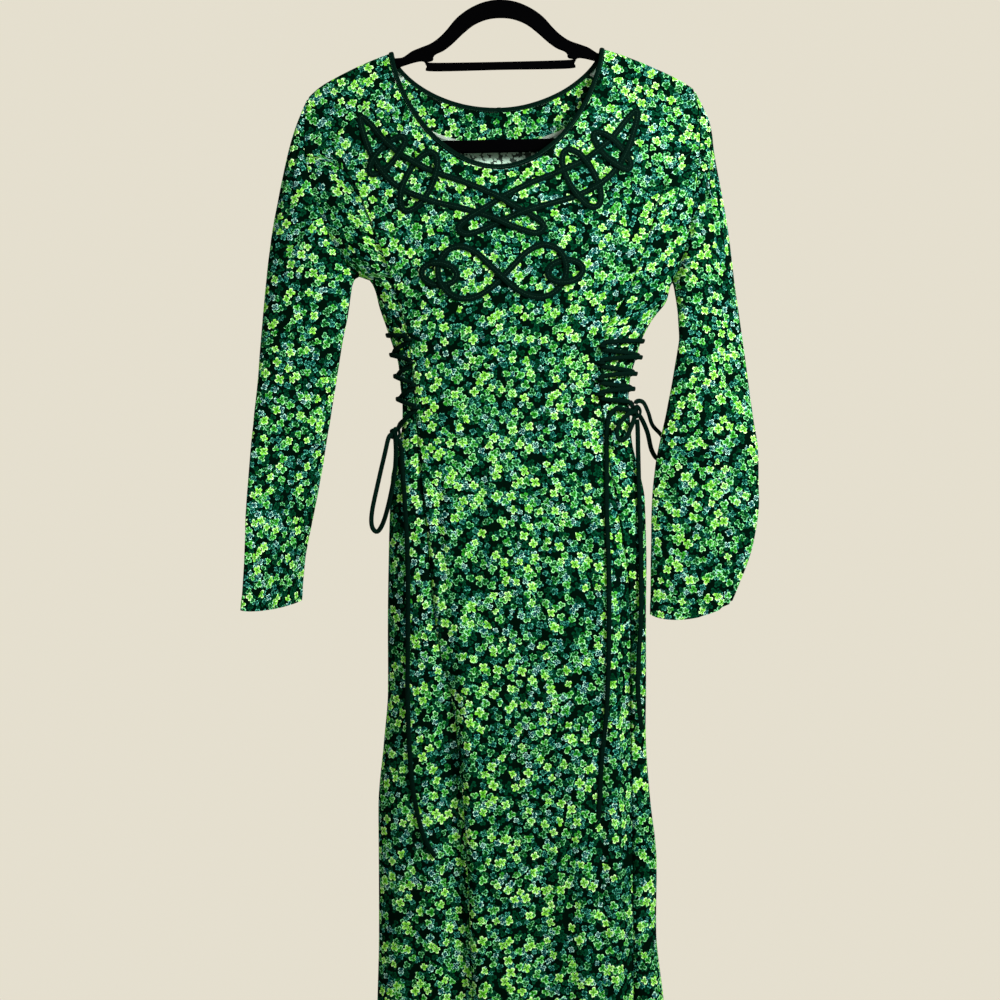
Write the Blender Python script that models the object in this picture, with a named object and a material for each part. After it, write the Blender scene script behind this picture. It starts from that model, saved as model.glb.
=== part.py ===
"""A long-sleeved maxi dress hanging flat on a slim hanger.

The origin is where the hook's wire rests on a rail: the inner top of its bow. +X is to the right
of someone who looks at the front, the front faces -Y and +Z is up. Every length is in metres,
except in the tables and the constants that end in _MM, which are in millimetres.

The body is a surface: at each height a flattened ring gives the side edges, the front and the
back. Panels are regions of that surface between seam lines, and the sleeves are rings that start
on the armholes. All panels are laid out first. Their normals are averaged over the whole garment,
so two walls stay parallel across the seam between them.
"""
import math

import bmesh
import bpy
from mathutils import Vector

MM = 0.001

# Cloth and seams
CLOTH_MM = 1.4
FACING_CLOTH_MM = 1.0
GAP_MM = 0.3

# Heights
NECK_POINT_Z_MM = -149.5
ARMPIT_Z_MM = {"left": -393.0, "right": -406.0}
SEAM_START_Z_MM = -262.0
HEM_Z_MM = -1550.0

# Neck opening, to the middle of its binding
NECK_CENTRE_X_MM = -4.0
NECK_HALF_WIDTH_MM = 116.0
NECK_DROP_MM = {"front": 132.0, "back": 62.0}
NECK_POWER = 1.35
BINDING_RADIUS_MM = 2.3
FACING_DEPTH_MM = 36.0
NECK_GAP_MM = 0.5

# The fold of the cloth over the hanger's arms
SHOULDER_FOLD_MM = 6.0
SHOULDER_EASE_MM = 130.0
SECTION_POWER = 2.2

# Cords
LACE_MM = 3.8
LOOP_CORD_MM = 2.0
TAPE_WIDTH_MM = 5.6
TAPE_THICKNESS_MM = 1.6
KNOT_HALF_MM = (5.0, 5.0, 8.5)
LACE_CLEAR_MM = 0.8
TAPE_LIFT_MM = 0.5

# The applied interlace on the chest, right half: distance from its middle, and height
MOTIF_CENTRE_X_MM = -3.0
WING = (
    # x, z
    (151.0, -221.0),
    (139.0, -231.0),
    (122.0, -252.0),
    (98.0, -272.0),
    (68.0, -287.0),
    (36.0, -299.0),
    (8.0, -312.0),
    (-16.0, -326.0),
    (-36.0, -338.0),
    (-46.0, -348.0),
    (-37.0, -355.0),
    (-14.0, -348.0),
    (10.0, -337.0),
    (40.0, -327.0),
    (80.0, -316.0),
    (112.0, -300.0),
    (135.0, -273.0),
    (148.0, -240.0),
)
LOBE = (
    # x, z, from the crossing in the middle round the right lobe and back to it
    (0.0, -402.0),
    (14.0, -388.0),
    (28.0, -375.0),
    (45.0, -368.0),
    (61.0, -374.0),
    (69.0, -390.0),
    (66.0, -408.0),
    (53.0, -421.0),
    (35.0, -424.0),
    (16.0, -416.0),
)
LEAF_MM = {"x": 68.0, "z": -397.0, "half_width": 19.0, "half_height": 12.0, "lean": 8.0}
RING_MM = {"x": 88.0, "z": -296.0, "half_width": 14.5, "half_height": 35.0, "lean": 27.0}
OVER_PLATEAU_MM = 6.5
OVER_RAMP_MM = 7.0
TAPE_STEP_MM = 2.5
TAPE_STRIDE = 3

# Side lacing. The levels are the heights of the loops on both seams of a side panel.
LACING = {
    "left": {"levels": (-466.0, -491.0, -516.0, -541.0), "knot": (0.40, -569.0)},
    "right": {"levels": (-478.0, -496.0, -514.0, -531.0), "knot": (0.44, -549.0)},
}
KNOT_LIFT_MM = 8.0
LOOP_HALF_WIDTH_MM = 5.0
LOOP_RISE_MM = 7.8
LOOP_STEPS = 4
ROUTE_TOLERANCE_MM = 0.4
LACE_LONGEST_MM = 13.0
TAIL_LONGEST_MM = 24.0
TURN_REACH = 0.10
TURN_HALF_MM = 5.4
EDGE_LIFT_MM = 1.4

# What hangs from the knots. A cord with no depth of its own lies on the front of the skirt.
LACE_ENDS = {
    "lace_tail_left": (
        # x, y, z
        (-117.5, None, -583.0),
        (-116.5, None, -600.0),
        (-114.0, None, -645.0),
        (-112.0, None, -712.0),
        (-113.5, None, -794.0),
        (-115.0, None, -850.0),
        (-114.0, None, -905.0),
        (-111.0, None, -952.0),
        (-101.5, None, -999.0),
        (-88.0, None, -1024.0),
    ),
    "lace_tail_right_in": (
        (122.5, None, -546.0),
        (113.0, None, -549.0),
        (107.5, None, -566.0),
        (105.5, None, -615.0),
        (104.5, None, -657.0),
        (105.0, None, -733.0),
        (102.5, None, -821.0),
        (98.5, None, -880.0),
        (93.5, None, -921.0),
        (88.0, None, -988.0),
    ),
    "lace_tail_right_out": (
        (141.5, -7.5, -562.0),
        (141.5, -10.5, -575.0),
        (141.0, -14.5, -595.0),
        (141.0, -17.0, -637.0),
        (141.5, -19.0, -680.0),
        (141.0, -20.5, -722.0),
        (139.5, -22.0, -776.0),
        (136.5, -23.5, -812.0),
        (134.5, -25.0, -851.0),
        (137.5, -22.0, -893.0),
    ),
}
LACE_BOWS = {
    "lace_bow_left": (
        # x, y, z
        (-130.0, -14.5, -571.0),
        (-135.0, -17.5, -590.0),
        (-143.0, -19.0, -622.0),
        (-150.0, -18.0, -652.0),
        (-150.5, -17.0, -668.0),
        (-145.0, -16.0, -674.0),
        (-138.0, -18.0, -664.0),
        (-130.5, -24.0, -641.0),
        (-124.0, -29.0, -612.0),
        (-122.0, -28.0, -588.0),
    ),
    "lace_bow_right_out": (
        (141.0, -3.0, -538.0),
        (149.0, 1.0, -538.0),
        (155.0, 6.0, -549.0),
        (160.0, 11.0, -563.0),
        (170.0, 16.0, -574.0),
        (175.0, 18.0, -585.0),
        (172.0, 18.0, -597.0),
        (165.0, 16.0, -600.0),
        (158.5, 13.0, -590.0),
        (154.0, 9.0, -571.0),
        (147.0, 2.0, -556.0),
    ),
    "lace_bow_right_in": (
        (138.0, -14.0, -549.0),
        (131.0, -21.0, -552.0),
        (122.0, -27.0, -560.0),
        (117.0, -30.0, -572.0),
        (121.0, -30.5, -581.0),
        (128.0, -27.0, -577.0),
        (132.5, -20.0, -568.0),
        (136.5, -13.5, -560.0),
    ),
}

# Hanger
HANGER_THICKNESS_MM = 5.0
ARM_HEIGHT_MM = 12.5
ARM_BELOW_CLOTH_MM = 1.9
ARM_BELOW_BINDING_MM = 4.3
HOOK_WIRE_MM = 3.6
HOOK_BOW_RADIUS_MM = 17.0

# Side edges and half depths of the body. Above the armpits the edges are those of a wider ring
# that the armholes cut into.
BODY_SECTIONS = (
    # z, left edge, right edge, front depth, back depth
    (-150.0, -262.0, 262.0, 7.0, 7.0),
    (-200.0, -258.0, 258.0, 15.0, 10.0),
    (-285.0, -236.0, 240.0, 25.0, 16.0),
    (-350.0, -200.0, 214.0, 30.0, 19.0),
    (-380.0, -176.0, 200.0, 31.0, 20.0),
    (-393.0, -160.0, 192.0, 31.0, 20.0),
    (-397.0, -149.0, 189.5, 31.0, 20.0),
    (-406.0, -143.5, 184.0, 31.0, 20.0),
    (-412.0, -141.5, 180.5, 31.0, 20.0),
    (-426.0, -138.5, 177.0, 30.5, 20.0),
    (-448.0, -131.5, 160.0, 29.0, 20.0),
    (-470.0, -124.5, 148.0, 27.5, 20.0),
    (-491.0, -118.5, 141.0, 25.5, 19.0),
    (-513.0, -117.0, 134.5, 24.0, 18.5),
    (-535.0, -115.0, 132.5, 23.0, 18.0),
    (-555.0, -115.5, 133.5, 23.0, 18.0),
    (-580.0, -120.0, 135.0, 24.0, 19.0),
    (-618.0, -129.5, 143.5, 27.0, 21.0),
    (-646.0, -131.0, 148.0, 29.0, 23.0),
    (-700.0, -133.5, 148.5, 33.0, 26.0),
    (-772.0, -136.0, 146.5, 36.0, 28.0),
    (-850.0, -137.5, 145.0, 38.0, 30.0),
    (-905.0, -143.0, 143.5, 39.0, 31.0),
    (-975.0, -150.5, 147.0, 40.0, 31.0),
    (-1040.0, -151.5, 152.5, 41.0, 32.0),
    (-1120.0, -153.0, 150.5, 42.0, 33.0),
    (-1196.0, -156.5, 157.0, 43.0, 34.0),
    (-1370.0, -164.0, 165.0, 46.0, 36.0),
    (-1550.0, -172.0, 172.0, 49.0, 38.0),
)

SHOULDER_LINES = (
    # distance from the middle on the left, on the right, z
    (0.0, 0.0, -137.0),
    (92.0, 84.0, -143.0),
    (120.0, 112.0, -149.5),
    (150.0, 143.0, -160.5),
    (174.0, 168.0, -171.5),
    (198.0, 194.0, -184.5),
    (212.0, 212.0, -196.7),
    (222.0, 222.0, -208.0),
)
SHOULDER_END_X_MM = 212.0
SHOULDER_SHARES = (0.0, 0.40, 0.75, 1.0)

ARMHOLES = (
    # z, x on the left, x on the right
    (-190.0, -211.0, 211.0),
    (-196.7, -212.0, 212.0),
    (-217.0, -216.0, 215.5),
    (-247.0, -217.0, 217.0),
    (-290.0, -211.0, 212.5),
    (-339.0, -196.0, 205.0),
    (-377.0, -175.0, 196.0),
    (-393.0, -160.0, 190.0),
    (-406.0, -143.5, 184.0),
)

# The seams between the middle panels and the side panels
FRONT_SEAMS = (
    # z, x on the left, x on the right
    (-262.0, -216.0, 216.2),
    (-272.0, -186.0, 198.0),
    (-290.0, -165.0, 183.0),
    (-326.0, -150.0, 167.0),
    (-370.0, -134.0, 154.0),
    (-421.0, -118.5, 132.0),
    (-470.0, -107.0, 106.0),
    (-528.0, -102.0, 101.5),
    (-577.0, -99.5, 105.0),
    (-660.0, -92.0, 118.0),
    (-745.0, -86.0, 128.0),
    (-795.0, -81.0, 128.5),
    (-861.0, -67.0, 127.5),
    (-1049.0, -55.0, 125.5),
    (-1195.0, -53.0, 124.0),
    (-1550.0, -54.0, 123.0),
)
BACK_SEAMS = (
    # z, x on the left, x on the right
    (-262.0, -216.0, 216.2),
    (-272.0, -188.0, 194.0),
    (-290.0, -168.0, 176.0),
    (-326.0, -152.0, 160.0),
    (-370.0, -136.0, 146.0),
    (-421.0, -120.0, 128.0),
    (-470.0, -106.0, 112.0),
    (-528.0, -99.0, 104.0),
    (-577.0, -98.0, 106.0),
    (-745.0, -97.0, 110.0),
    (-1049.0, -90.0, 104.0),
    (-1550.0, -96.0, 108.0),
)

# The largest folds of the skirt. A positive depth sinks the cloth, a negative one raises it.
FOLDS = (
    # face, x at the start, x at the hem, start z, full z, half width, depth
    ("front", -84.0, -53.0, -720.0, -960.0, 12.0, 15.0),
    ("front", -64.0, -35.0, -640.0, -900.0, 11.0, -5.0),
    ("front", 128.0, 122.0, -640.0, -900.0, 10.0, 15.0),
    ("front", 111.0, 104.0, -560.0, -820.0, 11.0, -6.0),
    ("front", 20.0, 34.0, -760.0, -1250.0, 26.0, 8.0),
    ("front", 66.0, 74.0, -820.0, -1300.0, 17.0, -5.0),
    ("front", -8.0, -4.0, -900.0, -1400.0, 15.0, -4.0),
    ("back", -62.0, -92.0, -640.0, -1050.0, 15.0, 14.0),
    ("back", -20.0, -44.0, -700.0, -1150.0, 17.0, -6.0),
    ("back", 10.0, 4.0, -660.0, -1100.0, 18.0, 13.0),
    ("back", 42.0, 52.0, -720.0, -1150.0, 17.0, -6.0),
    ("back", 80.0, 104.0, -640.0, -1050.0, 15.0, 13.0),
)

# Sleeve rings below the armhole. The tilt moves the outer edge back and the inner edge forward,
# because the flat sleeve hangs a little turned.
SLEEVE_RINGS = {
    "left": (
        # outer x, outer z, inner x, inner z, half depth, tilt, middle y
        (-225.5, -229.0, -165.5, -396.5, 20.0, 0.0, -2.0),
        (-235.5, -262.0, -168.5, -404.0, 19.0, 0.0, -2.0),
        (-255.0, -352.0, -175.0, -441.0, 17.0, -2.0, -2.0),
        (-261.0, -400.0, -180.5, -463.0, 16.0, -5.0, -3.0),
        (-270.5, -505.0, -191.0, -515.0, 14.0, -14.0, -5.0),
        (-280.0, -610.0, -210.0, -612.0, 12.0, -28.0, -7.0),
        (-283.0, -660.0, -221.0, -660.0, 11.0, -34.0, -8.0),
        (-284.5, -707.0, -231.0, -705.0, 11.0, -39.0, -9.0),
        (-288.5, -754.0, -236.0, -750.0, 11.0, -42.0, -10.0),
    ),
    "right": (
        (228.5, -236.0, 185.0, -410.5, 20.0, 2.0, -2.0),
        (232.5, -268.0, 185.8, -417.0, 18.5, 4.0, -2.0),
        (248.0, -358.0, 187.8, -446.0, 15.5, 13.0, -4.0),
        (254.0, -410.0, 188.2, -468.0, 14.5, 17.0, -4.0),
        (259.5, -458.0, 185.5, -488.0, 13.5, 16.0, -4.0),
        (268.5, -550.0, 174.0, -550.0, 11.5, 6.0, -4.0),
        (273.0, -600.0, 162.5, -600.0, 10.5, 1.0, -4.0),
        (273.0, -646.0, 157.0, -646.0, 10.0, 0.0, -4.0),
        (267.0, -690.0, 154.8, -690.0, 9.5, 0.0, -4.0),
        (256.0, -724.0, 153.6, -730.0, 9.0, 0.0, -4.0),
        (241.0, -757.0, 152.2, -771.0, 9.0, 0.0, -4.0),
    ),
}
SLEEVE_HEM_SAG_MM = {"left": 4.0, "right": 12.0}

# Heights at the panels' side edges, from the shoulder's end to the hem
ROW_HEIGHTS_MM = (
    -196.7, -197.5, -200.2, -207.0, -225.0, -262.0, -265.0, -272.0, -292.0, -325.0, -360.0, -393.0,
    -406.0, -426.0, -448.0, -471.0, -498.0, -526.0, -555.0, -590.0, -635.0, -690.0, -755.0, -830.0,
    -920.0, -1030.0, -1170.0, -1340.0, -1550.0,
)
FADE_Z_MM = -440.0
EVEN_COLUMNS_Z_MM = -400.0
SIDE_STEPS = 3
NECK_COLUMN_ANGLES = {
    "front": (2.5, 7.0, 16.0, 32.0, 51.0, 71.0, 90.0, 109.0, 129.0, 148.0, 164.0, 173.0, 177.5),
    "back": (2.5, 8.0, 20.0, 43.0, 67.0, 90.0, 113.0, 137.0, 160.0, 172.0, 177.5),
}

CLOTH_COLOUR = (0.10, 0.36, 0.10)
TRIM_COLOUR = (0.008, 0.035, 0.020)
HANGER_COLOUR = (0.012, 0.012, 0.013)
METAL_COLOUR = (0.62, 0.62, 0.64)


def clamp(value, low=0.0, high=1.0):
    return max(low, min(high, value))


def ease(value):
    value = clamp(value)
    return value * value * (3.0 - 2.0 * value)


def column(table, key, value, at):
    """A smooth curve through one column of a table whose key column rises or falls."""
    keys = [row[key] for row in table]
    values = [row[value] for row in table]
    if keys[0] > keys[-1]:
        keys.reverse()
        values.reverse()
    if at <= keys[0]:
        return values[0]
    if at >= keys[-1]:
        return values[-1]
    index = 0
    while keys[index + 1] < at:
        index += 1
    slopes = [(values[i + 1] - values[i]) / (keys[i + 1] - keys[i]) for i in range(len(keys) - 1)]

    def tangent(i):
        if i == 0:
            return slopes[0]
        if i == len(keys) - 1:
            return slopes[-1]
        before = slopes[i - 1]
        after = slopes[i]
        if before * after <= 0.0:
            return 0.0
        return 2.0 * before * after / (before + after)

    step = keys[index + 1] - keys[index]
    t = (at - keys[index]) / step
    rise_0 = tangent(index) * step
    rise_1 = tangent(index + 1) * step
    jump = values[index + 1] - values[index]
    cubic = rise_0 + rise_1 - 2.0 * jump
    square = 3.0 * jump - 2.0 * rise_0 - rise_1
    return values[index] + t * (rise_0 + t * (square + t * cubic))


# The body's surface, in millimetres

def side_column(side):
    return 1 if side == "left" else 2


def shoulder_z(x):
    return column(SHOULDER_LINES, 0 if x < 0.0 else 1, 2, abs(x))


def armhole_x(side, z):
    return column(ARMHOLES, 0, side_column(side), z)


def seam_x(face, side, z):
    """The edge of a middle panel: the armhole down to the seam's start, then the seam."""
    if z >= SEAM_START_Z_MM:
        return armhole_x(side, z)
    table = FRONT_SEAMS if face == "front" else BACK_SEAMS
    return column(table, 0, side_column(side), z)


def body_edge(side, z):
    return column(BODY_SECTIONS, 0, side_column(side), z)


def fold_depth(face, x, z):
    total = 0.0
    for fold_face, x_start, x_hem, z_start, z_full, half_width, depth in FOLDS:
        if fold_face != face or z > z_start:
            continue
        along = (z_start - z) / (z_start - HEM_Z_MM)
        middle = x_start + (x_hem - x_start) * along ** 0.6
        strength = ease((z_start - z) / (z_start - z_full))
        total += depth * strength * math.exp(-((x - middle) / half_width) ** 2)
    return total


def body_y(face, x, z):
    """The depth of the front or back surface at a place seen from the front."""
    left = body_edge("left", z)
    right = body_edge("right", z)
    middle = 0.5 * (left + right)
    reach = clamp(abs(x - middle) / (0.5 * (right - left)))
    depth = column(BODY_SECTIONS, 0, 3 if face == "front" else 4, z)
    below = max(0.0, shoulder_z(x) - z)
    turn = clamp(1.0 - below / SHOULDER_FOLD_MM)
    fold = SHOULDER_FOLD_MM * math.sqrt(1.0 - turn * turn) * math.sqrt(1.0 - reach ** 10)
    lens = (1.0 - reach ** SECTION_POWER) ** (1.0 / SECTION_POWER)
    swell = (depth - SHOULDER_FOLD_MM) * ease(below / SHOULDER_EASE_MM) ** 0.8
    y = fold + lens * swell - lens * fold_depth(face, x, z)
    return -y if face == "front" else y


def body_point(face, x, z):
    return Vector((x, body_y(face, x, z), z))


def body_normal(face, x, z):
    """The outward direction of the body's surface."""
    step = 1.0
    across = body_point(face, x + step, z) - body_point(face, x - step, z)
    down = body_point(face, x, z - step) - body_point(face, x, z + step)
    normal = across.cross(down).normalized()
    return -normal if (normal.y > 0.0) == (face == "front") else normal


def x_at_turn(side, z, turn):
    """The place on a ring at a share of the quarter turn from the middle to the side edge."""
    left = body_edge("left", z)
    right = body_edge("right", z)
    middle = 0.5 * (left + right)
    half = 0.5 * (right - left)
    reach = math.sin(0.5 * math.pi * turn) ** (2.0 / SECTION_POWER)
    return middle + half * reach * (-1.0 if side == "left" else 1.0)


def turn_of_x(z, x):
    left = body_edge("left", z)
    right = body_edge("right", z)
    reach = clamp(abs(x - 0.5 * (left + right)) / (0.5 * (right - left)))
    return math.asin(reach ** (SECTION_POWER / 2.0)) / (0.5 * math.pi)


# The panels' grids: lists of rows of points

def neck_drop(face, extra=0.0):
    return NECK_DROP_MM[face] + extra


def neck_point(face, angle, extra=0.0):
    """A point of the neck's curve seen from the front, from the left (0) to the right (180)."""
    turn = math.radians(angle)
    x = NECK_CENTRE_X_MM - (NECK_HALF_WIDTH_MM + extra) * math.cos(turn)
    z = NECK_POINT_Z_MM - neck_drop(face, extra) * math.sin(turn) ** NECK_POWER
    return x, z


def shoulder_columns(side):
    """The places of the columns along a shoulder seam, from the neck to the sleeve."""
    angle = 0.0 if side == "left" else 180.0
    start = neck_point("front", angle, BINDING_RADIUS_MM + NECK_GAP_MM)[0]
    end = -SHOULDER_END_X_MM if side == "left" else SHOULDER_END_X_MM
    return [start + (end - start) * share for share in SHOULDER_SHARES]


def shoulder_top(x):
    """The height of the shoulder's fold, which is straight between its columns."""
    places = shoulder_columns("left" if x < 0.0 else "right")
    for start, end in zip(places, places[1:]):
        if min(start, end) <= x <= max(start, end):
            share = (x - start) / (end - start)
            return shoulder_z(start) + (shoulder_z(end) - shoulder_z(start)) * share
    return shoulder_z(x)


def top_edge(face):
    """The top edge of a middle panel, from the left shoulder's end to the right one's."""
    cut = BINDING_RADIUS_MM + NECK_GAP_MM
    left = [(x, shoulder_z(x)) for x in reversed(shoulder_columns("left"))]
    neck = [neck_point(face, angle, cut) for angle in NECK_COLUMN_ANGLES[face]]
    right = [(x, shoulder_z(x)) for x in shoulder_columns("right")]
    return left + neck + right


def middle_panel(face):
    """Rows from the shoulders and the neck to the hem, columns from left to right."""
    edge = top_edge(face)
    shares = []
    for x, z in edge:
        left = seam_x(face, "left", z)
        right = seam_x(face, "right", z)
        shares.append(clamp((x - left) / (right - left)))
    shares[0] = 0.0
    shares[-1] = 1.0
    top = ROW_HEIGHTS_MM[0]
    last = len(edge) - 1
    rows = []
    for height in ROW_HEIGHTS_MM:
        fade = clamp((height - FADE_Z_MM) / (top - FADE_Z_MM))
        spread = ease((top - height) / (top - EVEN_COLUMNS_Z_MM))
        row = []
        for index, ((_, z_top), top_share) in enumerate(zip(edge, shares)):
            share = top_share + (index / last - top_share) * spread
            z = height
            if 0 < index < last:
                z += (z_top - top) * fade
            left = seam_x(face, "left", z)
            right = seam_x(face, "right", z)
            row.append(body_point(face, left + (right - left) * share, z))
        rows.append(row)
    return rows


def side_half(face, side):
    """One half of a side panel: columns from its seam to the side edge or the armhole."""
    rows = []
    for height in ROW_HEIGHTS_MM:
        if height >= SEAM_START_Z_MM:
            continue
        start = turn_of_x(height, seam_x(face, side, height))
        end = 1.0
        if height > ARMPIT_Z_MM[side]:
            end = turn_of_x(height, armhole_x(side, height))
        row = []
        for step in range(SIDE_STEPS + 1):
            turn = start + (end - start) * step / SIDE_STEPS
            row.append(body_point(face, x_at_turn(side, height, turn), height))
        rows.append(row)
    return rows


def armhole_loop(side):
    """The armhole from the shoulder's end down the front to the armpit and up the back."""
    kept = [z for z in ROW_HEIGHTS_MM if z >= ARMPIT_Z_MM[side]]
    front = [body_point("front", armhole_x(side, z), z) for z in kept]
    back = [body_point("back", armhole_x(side, z), z) for z in kept[1:-1]]
    return front + back[::-1], kept


def sleeve_grid(side):
    """Rings from the armhole to the cuff, each with the armhole's number of points."""
    loop, heights = armhole_loop(side)
    top = heights[0]
    low = heights[-1]
    count = len(heights)
    angles = []
    for index, z in enumerate(heights):
        own = math.acos(clamp((2.0 * z - top - low) / (top - low), -1.0, 1.0))
        even = math.pi * index / (count - 1)
        angles.append((own, even))
    angles += [(2.0 * math.pi - own, 2.0 * math.pi - even) for own, even in angles[-2:0:-1]]

    def ring_point(ring, angle):
        outer_x, outer_z, inner_x, inner_z, depth, tilt, middle_y = ring
        across = math.cos(angle)
        x = 0.5 * (outer_x + inner_x) + 0.5 * (outer_x - inner_x) * across
        z = 0.5 * (outer_z + inner_z) + 0.5 * (outer_z - inner_z) * across
        y = middle_y + tilt * across - depth * math.sin(angle)
        return Vector((x, y, z))

    first = (loop[0].x, top, loop[count - 1].x, low, 22.0, 0.0, 0.0)
    leftover = [point - ring_point(first, own) for point, (own, _) in zip(loop, angles)]
    rings = [loop]
    table = SLEEVE_RINGS[side]
    for index, ring in enumerate(table):
        blend = clamp((index + 1) / 4.0)
        keep = max(0.0, 1.0 - (index + 1) / 3.5) ** 1.5
        points = []
        for (own, even), rest in zip(angles, leftover):
            angle = own + (even - own) * blend
            point = ring_point(ring, angle) + rest * keep
            points.append(point)
        rings.append(points)
    for point, (_, even) in zip(rings[-1], angles):
        point.z -= SLEEVE_HEM_SAG_MM[side] * abs(math.sin(even)) ** 1.5
    return rings


# Walls

def key_of(point):
    return (round(point.x, 2), round(point.y, 2), round(point.z, 2))


def grid_faces(rows, closed):
    """The quads of a grid, each as four pairs of row and column."""
    width = len(rows[0])
    last = width if closed else width - 1
    for i in range(len(rows) - 1):
        for j in range(last):
            k = (j + 1) % width
            yield (i, j), (i + 1, j), (i + 1, k), (i, k)


def seam_push(edge, index, inner, closed):
    """Half a gap's move away from a seam, square to the seam."""
    count = len(edge)
    if closed:
        tangent = edge[(index + 1) % count] - edge[index - 1]
    else:
        tangent = edge[min(index + 1, count - 1)] - edge[max(index - 1, 0)]
    inward = inner - edge[index]
    square = inward - tangent * (inward.dot(tangent) / tangent.length_squared)
    return square.normalized() * 0.5 * GAP_MM


class Grid:
    """Rows of points with the edges that keep a seam's gap, and whether it winds inwards.

    The armpit is a row and a column, and its push is the point's own move away from the seam.
    """

    def __init__(self, rows, seams, closed=False, flip=False, armpit=None, push=None):
        self.rows = rows
        self.seams = seams
        self.closed = closed
        self.flip = flip
        self.armpit = armpit
        self.push = push

    def faces(self):
        for corners in grid_faces(self.rows, self.closed):
            yield corners[::-1] if self.flip else corners

    def inset(self):
        """The rows with their seam edges pulled in by half a gap."""
        rows = self.rows
        moved = [[point.copy() for point in row] for row in rows]
        for name, i, k in (("top", 0, 1), ("bottom", -1, -2)):
            if name in self.seams:
                for j in range(len(rows[0])):
                    if self.armpit != (i, j):
                        moved[i][j] += seam_push(rows[i], j, rows[k][j], self.closed)
        for name, j, k in (("first", 0, 1), ("last", -1, -2)):
            if name not in self.seams:
                continue
            edge = [row[j] for row in rows]
            for i, row in enumerate(rows):
                if name == "last" and self.armpit is not None and i >= self.armpit[0]:
                    continue
                moved[i][j] += seam_push(edge, i, row[k], False)
        if self.armpit is not None:
            moved[self.armpit[0]][self.armpit[1]] += self.push
        return moved


def outward_normals(grids):
    """One averaged normal for each place on the garment."""
    normals = {}
    for grid in grids:
        for corners in grid.faces():
            points = [grid.rows[i][j] for i, j in corners]
            area = (points[2] - points[0]).cross(points[3] - points[1])
            for point in points:
                key = key_of(point)
                normals[key] = normals.get(key, Vector()) + area
    return {key: normal.normalized() for key, normal in normals.items()}


def wall_mesh(name, grids, normals, thickness, shift=0.0):
    """A closed wall round the grids of one piece, which share the points where they meet."""
    mesh = bmesh.new()
    pairs = {}
    open_edges = {}
    for grid in grids:
        moved = grid.inset()

        def pair(i, j):
            key = key_of(moved[i][j])
            if key not in pairs:
                normal = normals[key_of(grid.rows[i][j])]
                outer = mesh.verts.new((moved[i][j] + normal * (shift + 0.5 * thickness)) * MM)
                inner = mesh.verts.new((moved[i][j] + normal * (shift - 0.5 * thickness)) * MM)
                pairs[key] = (outer, inner, key_of(grid.rows[i][j]))
            return pairs[key]

        for corners in grid.faces():
            face = [pair(i, j) for i, j in corners]
            mesh.faces.new([outer for outer, _, _ in face])
            mesh.faces.new([inner for _, inner, _ in reversed(face)])
            for start, end in zip(face, face[1:] + face[:1]):
                if (end[0], start[0]) in open_edges:
                    del open_edges[(end[0], start[0])]
                else:
                    open_edges[(start[0], end[0])] = (start, end)
    for start, end in open_edges.values():
        # The same diagonal on both sides of a seam, so twisted edges stay parallel.
        if start[2] < end[2]:
            mesh.faces.new((end[0], start[0], end[1]))
            mesh.faces.new((start[0], start[1], end[1]))
        else:
            mesh.faces.new((end[0], start[0], start[1]))
            mesh.faces.new((end[0], start[1], end[1]))
    return finish_mesh(name, mesh, 50.0)


def finish_mesh(name, mesh, sharp_degrees):
    data = bpy.data.meshes.new(name)
    mesh.to_mesh(data)
    mesh.free()
    data.shade_smooth()
    data.set_sharp_from_angle(angle=math.radians(sharp_degrees))
    return data


# Cords and tapes

def smooth_route(points, closed=False, step=8.0):
    """Evenly spaced points on a smooth curve through the route's own points."""
    count = len(points)
    spans = count if closed else count - 1
    dense = []
    for index in range(spans):
        if closed:
            around = [points[(index + k) % count] for k in (-1, 0, 1, 2)]
        else:
            around = [points[min(max(index + k, 0), count - 1)] for k in (-1, 0, 1, 2)]
        before, start, end, after = around
        for part in range(16):
            t = part / 16.0
            a = (end - before) * 0.5
            b = (after - start) * 0.5
            jump = end - start
            cubic = a + b - 2.0 * jump
            square = 3.0 * jump - 2.0 * a - b
            dense.append(start + t * (a + t * (square + t * cubic)))
    dense.append(points[0].copy() if closed else points[-1].copy())
    return even_points(dense, step)


def even_points(dense, step):
    lengths = [0.0]
    for start, end in zip(dense, dense[1:]):
        lengths.append(lengths[-1] + (end - start).length)
    count = max(2, round(lengths[-1] / step))
    spaced = []
    index = 0
    for number in range(count + 1):
        target = lengths[-1] * number / count
        while index < len(lengths) - 2 and lengths[index + 1] < target:
            index += 1
        span = max(lengths[index + 1] - lengths[index], 1e-9)
        spaced.append(dense[index].lerp(dense[index + 1], (target - lengths[index]) / span))
    return spaced


def thin_route(dense, tolerance, longest):
    """The fewest points of a dense route whose straight lengths stay within the tolerance."""
    kept = [dense[0]]
    start = 0
    while start < len(dense) - 1:
        end = start + 1
        while end + 1 < len(dense):
            chord = dense[end + 1] - dense[start]
            if chord.length > longest:
                break
            way = chord.normalized()
            middle = [point - dense[start] for point in dense[start + 1:end + 1]]
            if max((away - way * away.dot(way)).length for away in middle) > tolerance:
                break
            end += 1
        kept.append(dense[end])
        start = end
    return kept


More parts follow.
